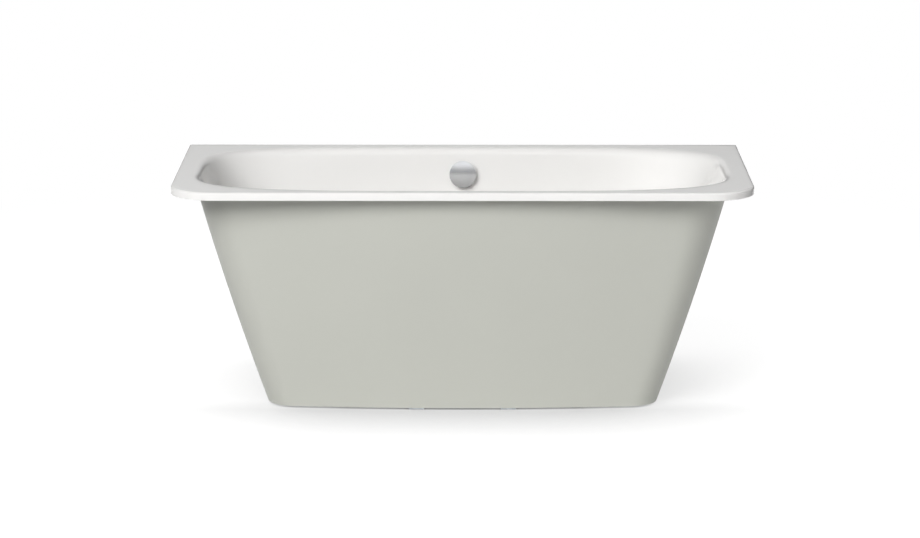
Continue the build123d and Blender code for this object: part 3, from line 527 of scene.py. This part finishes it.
def rim_line(u, inset):
    """The rim's outline, round at the front corners and square at the wall."""
    angle = round_angle(u)
    half_length = tub_grow["Length"] * 0.5 - inset
    half_depth = tub_grow["Depth"] * 0.5 - inset
    reach_x = half_length * cosine(angle)
    reach_y = half_depth * sine(angle)
    front = reach_y < 0.0
    corner = either(front, tub_grow["Front corner"], tub_grow["Rear corner"]) - inset
    corner = corner.math("MAXIMUM", 0.00001)
    straight = 1.0 / abs(cosine(angle)).math("MAXIMUM", abs(sine(angle)))
    centre_x = half_length - corner
    centre_y = half_depth - corner
    square = reach_x * reach_x + reach_y * reach_y
    dot = abs(reach_x) * centre_x + abs(reach_y) * centre_y
    left = centre_x * centre_x + centre_y * centre_y - corner * corner
    curved = (dot + root((dot * dot - square * left).math("MAXIMUM", 0.0))) / square
    in_corner = (abs(reach_x * straight) > centre_x) * (abs(reach_y * straight) > centre_y)
    share = either(in_corner, curved, straight)
    return reach_x * share, reach_y * share


# %% The profile's half width at a level
def basin_half(level, opening, slope, skin, reach=None):
    """Half the basin's width. Where the strip knows the roll's own reach it is more exact than a root."""
    roll = tub_grow["Roll radius"] - skin
    roll_centre = tub_grow["Height"] - tub_grow["Roll radius"]
    wall_top = roll_centre + roll * sine(slope)
    rounding = tub_grow["Floor radius"] + skin
    floor_centre = floor_height() + tub_grow["Floor radius"]
    wall_foot = floor_centre - rounding * sine(slope)
    rise = level - roll_centre
    if reach is None:
        reach = root((roll * roll - rise * rise).math("MAXIMUM", 0.0))
    rolled = opening - reach
    top_half = opening - roll * cosine(slope)
    straight = top_half - (wall_top - level) * tangent(slope)
    foot_half = top_half - (wall_top - wall_foot) * tangent(slope)
    drop = floor_centre - level
    rounded = foot_half - rounding * cosine(slope)
    rounded = rounded + root((rounding * rounding - drop * drop).math("MAXIMUM", 0.0))
    return either(level > wall_top, rolled, either(level > wall_foot, straight, rounded))


def basin_line(u, level, skin, reach=None):
    half_length = basin_half(level, tub_grow["Opening length"], tub_grow["End slope"], skin, reach)
    half_depth = basin_half(level, tub_grow["Opening depth"], tub_grow["Side slope"], skin, reach)
    deep = (tub_grow["Height"] - level) / tub_grow["Basin depth"]
    at_opening = tub_grow["Opening exponent"]
    exponent = at_opening + (tub_grow["Floor exponent"] - at_opening) * deep
    return superellipse(u, half_length, half_depth, exponent)


# %% Strips of one face of the sheet, from the drain outwards
dish_edge = 0.068
dish_start = 0.063
dish_run = 0.022
dish_shift_below = 0.00175


def tub_face(below, material):
    """The face that is seen, or with below set to one the face under it."""

    def skin():
        return tub_grow["Sheet"] * below

    def dish(u, v):
        angle = round_angle(u)
        radius = tub_grow["Drain radius"] + (dish_edge - tub_grow["Drain radius"]) * v
        sunk = smooth((dish_start + dish_shift_below * below - radius) / dish_run)
        level = floor_height() - skin() - tub_grow["Dish depth"] * sunk
        return radius * cosine(angle), radius * sine(angle), level

    def floor(u, v):
        angle = round_angle(u)
        level = floor_height() - skin()
        out_x, out_y = basin_line(u, level, skin())
        in_x = dish_edge * cosine(angle)
        in_y = dish_edge * sine(angle)
        return in_x + (out_x - in_x) * v, in_y + (out_y - in_y) * v, level

    def floor_rounding(u, v):
        rounding = tub_grow["Floor radius"] + skin()
        level = floor_height() - skin() + rounding * (1.0 - cosine(v * steepest))
        return (*basin_line(u, level, skin()), level)

    def wall(u, v):
        rise = (tub_grow["Floor radius"] + skin()) * (1.0 - cos(steepest))
        low = floor_height() - skin() + rise
        fall = (tub_grow["Roll radius"] - skin()) * (1.0 - cos(steepest))
        high = tub_grow["Height"] - skin() - fall
        level = low + (high - low) * v
        return (*basin_line(u, level, skin()), level)

    def roll_over(u, v):
        roll = tub_grow["Roll radius"] - skin()
        turn = (1.0 - v) * steepest
        level = tub_grow["Height"] - skin() - roll * (1.0 - cosine(turn))
        return (*basin_line(u, level, skin(), roll * sine(turn)), level)

    def rim(u, v):
        level = tub_grow["Height"] - skin()
        in_x, in_y = basin_line(u, level, skin(), v * 0.0)
        out_x, out_y = rim_line(u, tub_grow["Edge radius"])
        return in_x + (out_x - in_x) * v, in_y + (out_y - in_y) * v, level

    def rim_edge(u, v):
        edge = tub_grow["Edge radius"]
        turn = v * (pi / 2)
        inset = edge - (edge - skin()) * sine(turn)
        return (*rim_line(u, inset), tub_grow["Height"] - edge + (edge - skin()) * cosine(turn))

    def band(u, v):
        edge = tub_grow["Edge radius"]
        level = tub_grow["Height"] - edge - (tub_grow["Band"] - edge) * v
        return (*rim_line(u, skin()), level)

    stretches = ((dish, 10), (floor, 14), (floor_rounding, 14), (wall, 12))
    stretches += ((roll_over, 12), (rim, 6), (rim_edge, 6), (band, 2))
    for place, rows in stretches:
        tub_grow.strip(columns_round, rows, place, material)


tub_face(0.0, finishes["white_enamel"])
tub_face(1.0, finishes["ground_enamel"])


# %% The cut edges: the band's lower edge and the drain hole
def band_foot(u, v):
    return (*rim_line(u, tub_grow["Sheet"] * v), tub_grow["Height"] - tub_grow["Band"])


def drain_edge(u, v):
    angle = round_angle(u)
    radius = tub_grow["Drain radius"]
    level = floor_height() - tub_grow["Dish depth"] - tub_grow["Sheet"] * v
    return radius * cosine(angle), radius * sine(angle), level


tub_grow.strip(columns_round, 1, band_foot, finishes["white_enamel"])
tub_grow.strip(columns_round, 1, drain_edge, finishes["white_enamel"])
tub = harvest(tub_grow.board, tub_sizes, "tub_shell", tub_grow.joined())


# %% The overflow hole, bored square to the rear wall
def finished(piece):
    """Applies a piece's modifiers to its mesh."""
    bpy.context.view_layer.update()
    evaluated = piece.evaluated_get(bpy.context.evaluated_depsgraph_get())
    mesh = bpy.data.meshes.new_from_object(evaluated)
    piece.modifiers.clear()
    piece.data = mesh
    tidy_mesh(piece)


overflow_spot = Vector((0, 0.292149, 0.528))
overflow_lean = radians(8)
overflow_bore = 0.026
drill_length = 0.03
overflow_out = Vector((0, -cos(overflow_lean), sin(overflow_lean)))
overflow_frame = Matrix.Translation(overflow_spot) @ overflow_out.to_track_quat("Z", "Y").to_matrix().to_4x4()
drill = bmesh.new()
round_bar = {"segments": 64, "radius1": overflow_bore, "radius2": overflow_bore, "depth": drill_length}
bmesh.ops.create_cone(drill, cap_ends=True, **round_bar)
bmesh.ops.transform(drill, matrix=overflow_frame, verts=drill.verts)
bore = bpy.data.objects.new("bore", bpy.data.meshes.new("bore"))
drill.to_mesh(bore.data)
drill.free()
scene.collection.objects.link(bore)
cut = tub.modifiers.new("overflow_hole", "BOOLEAN")
cut.operation = "DIFFERENCE"
cut.solver = "MANIFOLD"
cut.object = bore
finished(tub)
bpy.data.objects.remove(bore)

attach(tub, "bath")
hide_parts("tub")

# %% [markdown]
# ## The skirt
# The skirt is one sheet bent round the tub's front and both ends. Seen from above it is a U with a
# bowed front and round corners; seen from the front it narrows towards the floor and its sides bulge
# a little. Its top is turned out into a flange that slides into clips under the rim, and its rear edges
# are folded inwards. Each stretch of the U is a strip again, with the height as the second direction.

# %% Sizes of the skirt, in metres
skirt_low = 0.005
skirt_high = 0.5835
taper_height = 0.575
skirt_sheet = 0.0025
bend_radius = 0.0025
skirt_sizes = {
    "Low": skirt_low,
    "High": skirt_high,
    "Share at high": (skirt_high - skirt_low) / taper_height,
    "Top half width": 0.688,
    "Base half width": 0.512,
    "Bulge": 0.006,
    "Top setback": 0.035,
    "Base setback": 0.120,
    "Top bow": 0.045,
    "Base bow": 0.029,
    "Top corner": 0.110,
    "Base corner": 0.076,
    "Wall": 0.35,
    "Rear": 0.345,
    "Fold": 0.015,
    "Flange": 0.015,
}
skirt_grow = Grow("skirt_rule", skirt_sizes)


# %% The skirt's outline at a share of its height
def skirt_measures(share, outset):
    """Half width, front, bow and corner radius at a height, drawn outwards by the outset."""

    def between(base, top):
        return skirt_grow[base] + (skirt_grow[top] - skirt_grow[base]) * share

    bulge = skirt_grow["Bulge"] * 4.0 * share * (1.0 - share)
    half_width = between("Base half width", "Top half width") + bulge + outset
    front = between("Base setback", "Top setback") - skirt_grow["Wall"] - outset
    bow = between("Base bow", "Top bow")
    corner = between("Base corner", "Top corner") + outset
    return half_width, front, bow, corner


def corner_start(half_width, bow, corner):
    """Where the bowed front meets the corner's arc, and how far it has turned there.

    Each depends on the other, and three rounds settle them.
    """
    turn_in = 0.0
    for round_number in range(3):
        meet = half_width - corner + corner * turn_in
        slope = bow * 2.0 * meet / (half_width * half_width)
        turn_in = slope / root(slope * slope + 1.0)
    return meet, turn_in, 1.0 / root(slope * slope + 1.0)


# %% Stretches of the U, for one height line
def skirt_front(u, share, outset):
    half_width, front, bow, corner = skirt_measures(share, outset)
    meet = corner_start(half_width, bow, corner)[0]
    x = meet * (u * 2.0 - 1.0)
    across = x / half_width
    return x, front + bow * across * across


def skirt_corner(u, share, outset, side):
    half_width, front, bow, corner = skirt_measures(share, outset)
    meet, turn_in, level_out = corner_start(half_width, bow, corner)
    across = meet / half_width
    centre_y = front + bow * across * across + corner * level_out
    turned = turn_in.math("ARCSINE")
    angle = (turned - pi / 2) * (1.0 - u)
    return (half_width - corner + corner * cosine(angle)) * side, centre_y + corner * sine(angle)


def skirt_end(u, share, outset, side):
    half_width, front, bow, corner = skirt_measures(share, outset)
    foot_y = skirt_corner(u * 0.0 + 1.0, share, outset, side)[1]
    return half_width * side, foot_y + (skirt_grow["Rear"] - foot_y) * u


def skirt_fold(u, share, outset, side):
    half_width = skirt_measures(share, outset)[0]
    return (half_width - skirt_grow["Fold"] * u) * side, skirt_grow["Rear"] + u * 0.0


# %% Strips of the skirt: the walls with their folds, then the flange
wall_rows = 28
flange_rows = 2
front_columns = 72
corner_columns = 20
end_columns = 16


def skirt_wall(stretch, columns, *side):
    def place(u, v):
        level = skirt_grow["Low"] + (skirt_grow["High"] - skirt_grow["Low"]) * v
        x, y = stretch(u, skirt_grow["Share at high"] * v, 0.0, *side)
        return x, y, level

    skirt_grow.strip(columns, wall_rows, place, finishes["grey_enamel"])


def skirt_flange(stretch, columns, *side):
    def place(u, v):
        share = skirt_grow["Share at high"] + v * 0.0
        x, y = stretch(u, share, skirt_grow["Flange"] * v, *side)
        return x, y, skirt_grow["High"] + v * 0.0

    skirt_grow.strip(columns, flange_rows, place, finishes["grey_enamel"])


skirt_wall(skirt_front, front_columns)
skirt_flange(skirt_front, front_columns)
for side in (-1.0, 1.0):
    skirt_wall(skirt_corner, corner_columns, side)
    skirt_wall(skirt_end, end_columns, side)
    skirt_wall(skirt_fold, 1, side)
    skirt_flange(skirt_corner, corner_columns, side)
    skirt_flange(skirt_end, end_columns, side)
skirt = harvest(skirt_grow.board, skirt_sizes, "skirt_shell", skirt_grow.joined())

# %% The sheet's thickness, with small bend radii
bends = skirt.modifiers.new("bends", "BEVEL")
bends.limit_method = "ANGLE"
bends.angle_limit = radians(60)
bends.width = bend_radius
bends.segments = 3
front_spot = Vector((0, -0.27, 0.3))
middle = min(skirt.data.polygons, key=lambda p: (p.center - front_spot).length)
facing = -1 if middle.normal.y < 0 else 1
print("front faces", "outwards" if facing < 0 else "inwards")
wall = skirt.modifiers.new("sheet", "SOLIDIFY")
wall.thickness = skirt_sheet
wall.offset = facing
wall.use_even_offset = True
finished(skirt)

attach(skirt, "bath")
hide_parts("skirt")

# %% [markdown]
# ## The overflow knob
# The one fitting that shows is a turned and chromed knob. It is a lathe piece: its half section is
# spun round the overflow's axis. The crown is a very flat dome that runs into a small round lip, and a
# chrome rim that thin catches a bright line, so the section has many short steps there.


# %% Turned pieces: a half section spun round an axis
spin_steps = 128


def turned(name, section, place, material):
    """Spins (radius, height) points. The section starts and ends on the axis."""
    form = bmesh.new()
    rings = []
    for radius, rise in section:
        if radius < 1e-7:
            rings.append([form.verts.new(place @ Vector((0, 0, rise)))])
            continue
        ring = []
        for step in range(spin_steps):
            angle = 2 * pi * step / spin_steps
            ring.append(form.verts.new(place @ Vector((radius * cos(angle), radius * sin(angle), rise))))
        rings.append(ring)
    for low, high in zip(rings, rings[1:]):
        for step in range(spin_steps):
            after = (step + 1) % spin_steps
            corners = [low[step % len(low)], low[after % len(low)]]
            corners += [high[after % len(high)], high[step % len(high)]]
            corners = list(dict.fromkeys(corners))
            if len(corners) > 2:
                form.faces.new(corners)
    mesh = bpy.data.meshes.new(name)
    form.to_mesh(mesh)
    form.free()
    piece = bpy.data.objects.new(name, mesh)
    scene.collection.objects.link(piece)
    mesh.materials.append(material)
    tidy_mesh(piece, keep_sharp=35)
    return piece


def arc(centre, radius, start, end, steps):
    """Points of an arc in the half section, with its angles in degrees."""
    points = []
    for step in range(steps + 1):
        angle = radians(start + (end - start) * step / steps)
        points.append((centre[0] + radius * cos(angle), centre[1] + radius * sin(angle)))
    return points


# %% The knob's half section, in metres from the wall
def dome(radius, low, high, steps):
    """A shallow dome from the axis at high out to the radius at low."""
    bow = (radius**2 + (high - low) ** 2) / (2 * (high - low))
    points = []
    for step in range(steps + 1):
        out = radius * step / steps
        points.append((out, high - bow + sqrt(bow**2 - out**2)))
    return points


crown_radius = 0.035
crown_edge = 0.017
crown_top = 0.0195
lip_centre = (0.0351, 0.0156)
lip_radius = 0.0014
back_centre = (0.0359, 0.0106)
back_radius = 0.0006
hollow = [(0.034, 0.010), (0.034, 0.0145)]
hub = [(0.008, 0.0145), (0.008, 0.005), (0.005, 0.005)]
hub_bore = [(0.005, 0.015), (0, 0.015)]
knob_section = dome(crown_radius, crown_edge, crown_top, 24)
knob_section += arc(lip_centre, lip_radius, 80, 0, 8)
knob_section += arc(back_centre, back_radius, 0, -90, 4)
knob_section += hollow + hub + hub_bore
knob = turned("knob_cap", knob_section, overflow_frame, finishes["chrome"])
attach(knob, "knob")
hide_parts("overflow_knob")

# %% [markdown]
# ## The overflow hose
# The hose that leads overflow water down to the drain is corrugated, so that it bends without
# flattening. Its path is a polyline with one filleted corner; the curve's radius follows a wave along
# its length, and Curve to Mesh sweeps a circle whose size is that radius.

# %% The hose's tree: a filleted path, a wave of radii, and a circle swept along it
hose_sizes = {"Bend": 0.09, "Radius": 0.0149, "Rib": 0.0011, "Pitch": 0.0052}
hose_corners = ((0, 0.31248, 0.47869), (0, 0.261793, 0.118), (0, 0.062, 0.118))
fillet_steps = 24
path_steps = 620
ring_steps = 28
hose, hose_in = sized_tree("hose_rule", hose_sizes)
path_mesh = hose.add("GeometryNodeMeshLine", {"Count": 3})[0]
index = hose.add("GeometryNodeInputIndex")[0]
spots = []
for axis in range(3):
    start, corner, end = (point[axis] for point in hose_corners)
    spots.append(either(index > 0.5, either(index > 1.5, end, corner), start))
route = hose.add("ShaderNodeCombineXYZ", dict(enumerate(spots)))[0]
path_mesh = hose.add("GeometryNodeSetPosition", {"Geometry": path_mesh, "Position": route})[0]
path = hose.add("GeometryNodeMeshToCurve", {"Mesh": path_mesh})[0]
fillet = {"Curve": path, "Radius": hose_in["Bend"], "Count": fillet_steps}
path = hose.add("GeometryNodeFilletCurve", fillet, mode="POLY")[0]
path = hose.add("GeometryNodeResampleCurve", {"Curve": path, "Count": path_steps}, mode="COUNT")[0]
along = hose.add("GeometryNodeSplineParameter")[1]
wave = sine(along * (2 * pi) / hose_in["Pitch"])
swell = hose_in["Radius"] + hose_in["Rib"] * wave
circle = {"Resolution": ring_steps, "Radius": 1.0}
ring = hose.add("GeometryNodeCurvePrimitiveCircle", circle, mode="RADIUS")[0]
sweep = {"Curve": path, "Profile Curve": ring, "Scale": swell, "Fill Caps": True}
tube = hose.add("GeometryNodeCurveToMesh", sweep)[0]
tube = hose.add("GeometryNodeSetMaterial", {"Geometry": tube, "Material": finishes["grey_plastic"]})[0]

# %% The hose as a plain mesh
hose_piece = harvest(hose, hose_sizes, "hose_ribbed", tube, keep_sharp=70)
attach(hose_piece, "bath")
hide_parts("overflow_hose")

# %% [markdown]
# ## The threaded studs
# Each foot stands on a zinc-coated stud with a rolled M10 thread of 1.5 mm pitch and a hexagon collar
# for the spanner. The thread is a strip whose radius follows a helix: the crest's height is the level in
# pitches less the angle in turns. The collar's radius follows the hexagon, and its ends are chamfered.

# %% Sizes of a stud, in metres
stud_sizes = {
    "Place x": 0.3,
    "Place y": 0.165,
    "Foot": 0.0083,
    "Collar foot": 0.0203,
    "Collar top": 0.0283,
    "Top": 0.15,
    "Crest": 0.005,
    "Root": 0.0042,
    "Flats": 0.0085,
    "Pitch": 0.0015,
    "Chamfer": 0.001,
}
stud_turns = (stud_sizes["Top"] - stud_sizes["Collar top"]) / stud_sizes["Pitch"]
stud_columns = 24
rows_a_turn = 6
collar_rows = 8
print("thread turns", round(stud_turns, 1))


# %% The outline of the collar
def hexagon(angle, flats):
    """The radius of a hexagon at an angle."""
    sixth = pi / 3
    off = (angle + sixth / 2).math("FLOORED_MODULO", sixth) - sixth / 2
    return flats / cosine(off)


# %% Strips of a stud, from its lower end to its upper one
def stud_strips(stud, material):
    def ring(u, radius, level):
        angle = u * (2 * pi)
        return stud["Place x"] + cosine(angle) * radius, stud["Place y"] + sine(angle) * radius, level

    def lower_end(u, v):
        return ring(u, (stud["Crest"] - stud["Chamfer"]) * v, stud["Foot"] + v * 0.0)

    def lower_chamfer(u, v):
        return ring(u, stud["Crest"] - stud["Chamfer"] * (1.0 - v), stud["Foot"] + stud["Chamfer"] * v)

    def shank(u, v):
        low = stud["Foot"] + stud["Chamfer"]
        return ring(u, stud["Crest"] + v * 0.0, low + (stud["Collar foot"] - low) * v)

    def collar(u, v):
        """A hexagon cut by a cone at both ends. The first line of points is the shank's end, and the
        last one is the thread's foot.
        """
        inner_rows = collar_rows - 2
        half_row = 0.5 / collar_rows
        corner_reach = 1.155
        cone_cut = 0.15
        across = hexagon(u * (2 * pi), stud["Flats"])
        rise = (v * collar_rows - 1.0).math("MAXIMUM", 0.0).math("MINIMUM", inner_rows) / inner_rows
        upper = either(v > 1.0 - half_row, stud["Root"], across)
        inner = either(v < half_row, stud["Crest"], upper)
        end = abs(rise * 2.0 - 1.0)
        cone = stud["Flats"] * (corner_reach - cone_cut * smooth(end * 6.0 - 5.0))
        radius = inner.math("MINIMUM", cone)
        return ring(u, radius, stud["Collar foot"] + (stud["Collar top"] - stud["Collar foot"]) * rise)

    def thread(u, v):
        """A helix with flat crests and roots, which fades out at both ends."""
        flank = 2.4
        flat_root = 0.1
        fade = 60.0
        tall = stud["Top"] - stud["Chamfer"] - stud["Collar top"]
        level = stud["Collar top"] + tall * v
        wave = (tall * v / stud["Pitch"] - u).math("FLOORED_MODULO", 1.0)
        crest = (abs(wave - 0.5) * flank - flat_root).math("MAXIMUM", 0.0).math("MINIMUM", 1.0)
        fade_in = (v * fade).math("MINIMUM", 1.0)
        fade_out = ((1.0 - v) * fade).math("MINIMUM", 1.0)
        radius = stud["Root"] + (stud["Crest"] - stud["Root"]) * crest * (fade_in * fade_out)
        return ring(u, radius, level)

    def upper_chamfer(u, v):
        radius = stud["Root"] - stud["Chamfer"] * v
        return ring(u, radius, stud["Top"] - stud["Chamfer"] * (1.0 - v))

    def upper_end(u, v):
        return ring(u, (stud["Root"] - stud["Chamfer"]) * (1.0 - v), stud["Top"] + v * 0.0)

    rows = {lower_end: 1, lower_chamfer: 1, shank: 1, collar: collar_rows}
    rows[thread] = int(stud_turns * rows_a_turn)
    rows.update({upper_chamfer: 1, upper_end: 1})
    for place, count in rows.items():
        stud.strip(stud_columns, count, place, material)


# %% The four studs
for lane, place_y in (("front", -0.165), ("rear", 0.165)):
    for hand, place_x in (("left", -0.3), ("right", 0.3)):
        where = f"{lane}_{hand}"
        sizes = dict(stud_sizes)
        sizes["Place x"], sizes["Place y"] = place_x, place_y
        stud = Grow(f"stud_rule_{where}", sizes)
        stud_strips(stud, finishes["zinc_steel"])
        piece = harvest(stud.board, sizes, f"stud_threaded_{where}", stud.joined())
        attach(piece, f"stud_{where}")
        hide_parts(f"foot_stud_{where}")

# %% [markdown]
# ## Finishes for the solids that stay
# Feet, rails, hooks, drain and trap keep their CAD solids, whose shapes are right. Each gets the finish
# of what it is really made of: zinc-coated steel, moulded plastic, rubber, bitumen or brass.

# %% A finish for every node
node_finish = {
    "chrome": ("drain_strainer", "plug_cap", "overflow_screws"),
    "plate_plastic": ("overflow_plate",),
    "black_plastic": ("overflow_body", "knob_spindle", "lift_lever", "plug_stem"),
    "white_plastic": (
        "trap",
        "outlet_elbow",
        "drain_body",
        "cleaning_cap",
        "upper_hose_nut",
        "lower_hose_nut",
    ),
    "grey_plastic": ("trap_union_nut", "outlet_union_nut", "overflow_hose"),
    "cable_sheath": ("lift_cable",),
    "black_rubber": ("plug_seal", "drain_gasket", "drain_flange_gasket", "overflow_gasket", "hook_cushions"),
    "bitumen": ("sound_mat_left", "sound_mat_right"),
    "brass": ("lever_pin", "earth_bolt", "earth_nut"),
    "zinc_steel": ("skirt_clips", "earth_tab", "lock_nuts"),
    "white_enamel": ("tub",),
    "grey_enamel": ("skirt",),
}
finish_of = {name: slot for slot, names in node_finish.items() for name in names}
starts = {"floor_angle": "zinc_steel", "support_rail": "zinc_steel", "wall_hook": "zinc_steel"}
starts.update({"foot_stud": "zinc_steel", "foot_pad": "foot_plastic", "foot_sole": "black_rubber"})
starts.update({"rail_cushion": "black_rubber", "overflow_knob": "chrome"})
for name, node in nodes.items():
    for start, slot in starts.items():
        if name.startswith(start):
            finish_of[name] = slot
    node.data.materials.append(finishes[finish_of[name]])
print("finished nodes", len(finish_of))

# %% [markdown]
# ## Floor and light
# The photograph has a white studio: the floor runs on to the horizon and only its shadows show. The
# floor is matt. The camera sees it lifted to white with its shadow kept. Mirrors see it pale near the
# bath. Far off to the right they see it painted dark, a painted reflection that darkens the corner of
# the rim's edge.
# The room behind the camera is dim with a bright ceiling, which draws the dark line across the knob.
# Two broad lamps in front and to the left light the walls that face the camera. A long low one on the
# right lights the skirt's end, a weak one hangs above the right end, and one behind the wall line lights
# the inside of the front wall, which the knob mirrors. The left end of the basin stays in soft shade.

# %% Which rays look: the camera's, and those by way of a mirror or clear glass
def light_paths(board):
    path = board.add("ShaderNodeLightPath")
    return path[0], path[3].math("MAXIMUM", path[6])


# %% The floor's looks
floor_material = bpy.data.materials.new("studio_floor")
floor_material.use_nodes = True
floor_board = Board(floor_material.node_tree)
seen_by_camera, mirrored = light_paths(floor_board)
floor_way = floor_board.add("ShaderNodeSeparateXYZ", {0: floor_board.add("ShaderNodeTexCoord")[3]})


def floor_look(tone, glow):
    """A matt floor of one tone with a glow of its own."""
    matt = floor_board.add("ShaderNodeBsdfDiffuse", {"Color": (tone, tone, tone, 1)})[0]
    light = floor_board.add("ShaderNodeEmission", {"Color": (1, 1, 1, 1), "Strength": glow})[0]
    return floor_board.add("ShaderNodeAddShader", {0: matt, 1: light})[0]


def floor_mix(share, low, high):
    """One look of the floor, which turns into another as the share grows to one."""
    return floor_board.add("ShaderNodeMixShader", {0: share, 1: low, 2: high})[0]


# Far off to the right the floor is painted dark for mirrors only: a painted dark reflection in the corner of
# the rim's edge.
dark_reflection_from = 2.0
painted_dark_reflection = smooth((floor_way[0] - dark_reflection_from) * 1.2)
mirror_floor = floor_mix(painted_dark_reflection, floor_look(0.8, 0.5), floor_look(0.06, 0.0))
plain_floor = floor_mix(mirrored, floor_look(0.5, 0.0), mirror_floor)

# %% The floor for the camera: a soft contact shadow, weaker behind the bath, and pure white far off
shadow_reach = 0.4
side_share = 0.45
front_line = -0.12
white_from = 1.3
reach = root(floor_way[0] * floor_way[0] + floor_way[1] * floor_way[1])
open_air = floor_board.add("ShaderNodeAmbientOcclusion", {"Distance": shadow_reach}, samples=24)[1]
in_front = side_share + (1.0 - side_share) * smooth((front_line - floor_way[1]) * 8.0)
opened = 1.0 - (1.0 - open_air**0.8) * in_front
near_floor = floor_mix(opened, floor_look(0.1, 0.05), floor_look(0.3, 0.92))
white_floor = floor_mix(smooth((reach - white_from) * 0.6), near_floor, floor_look(0.0, 1.0))
both = floor_mix(seen_by_camera, plain_floor, white_floor)
floor_exit = floor_board.tree.nodes.new("ShaderNodeOutputMaterial")
floor_board.tree.links.new(both.socket, floor_exit.inputs["Surface"])

# %% The floor's sheet
half_floor = 40
floor_form = bmesh.new()
bmesh.ops.create_grid(floor_form, x_segments=1, y_segments=1, size=half_floor)
floor_mesh = bpy.data.meshes.new("studio_floor")
floor_form.to_mesh(floor_mesh)
floor_form.free()
floor_mesh.materials.append(floor_material)
studio_floor = bpy.data.objects.new("studio_floor", floor_mesh)
scene.collection.objects.link(studio_floor)
print("floor", 2 * half_floor, "m wide")

# %% The world: white for the camera, a dim room with a bright ceiling for mirrors
world = bpy.data.worlds.new("studio")
scene.world = world
world.use_nodes = True
sky = Board(world.node_tree)
sky_seen, sky_mirrored = light_paths(sky)
way = sky.add("ShaderNodeSeparateXYZ", {0: sky.add("ShaderNodeTexCoord")[0]})


def room_light(dim, horizon, steepness):
    """Dim below the horizon and two thirds brighter above it."""
    return dim + 0.66 * smooth((way[2] - horizon) * steepness)


front_room = room_light(0.34, 0.16, 7.0)
rear_room = room_light(0.12, 0.1, 11.0)
room = either(smooth(way[1] * 2.0 + 0.5), rear_room, front_room)
air_light = 0.05
sky_strength = either(sky_seen, 1.0, either(sky_mirrored, room, air_light))
backdrop = sky.add("ShaderNodeBackground", {"Color": (1, 1, 1, 1), "Strength": sky_strength})[0]
sky_exit = sky.tree.nodes.new("ShaderNodeOutputWorld")
sky.tree.links.new(backdrop.socket, sky_exit.inputs["Surface"])
print("world", world.name)


# %% Lamps
def softbox(name, place, target, size, power):
    data = bpy.data.lights.new(name, "AREA")
    data.shape = "RECTANGLE"
    data.size, data.size_y = size
    data.energy = power
    lamp = bpy.data.objects.new(name, data)
    lamp.location = place
    lamp.rotation_euler = (Vector(target) - Vector(place)).to_track_quat("-Z", "Y").to_euler()
    lamp.visible_glossy = False
    scene.collection.objects.link(lamp)
    print("lamp", name, power, "W")


softbox("key", (-5.0, -7.6, 6.6), (0, 0, 0.3), (7.4, 5.2), 625)
softbox("front_high", (-2.6, -9.2, 6.6), (0, 0, 0.3), (8.4, 5.6), 580)
softbox("right_above", (5.1, -0.6, 5.6), (0, 0, 0.3), (3.2, 3.2), 6)
softbox("right_low", (8.0, -5.8, 0.4), (0, 0, 0.3), (4.2, 0.7), 170)
softbox("behind", (-1.6, 7.2, 2.2), (0, 0, 0.4), (5.4, 2.0), 270)
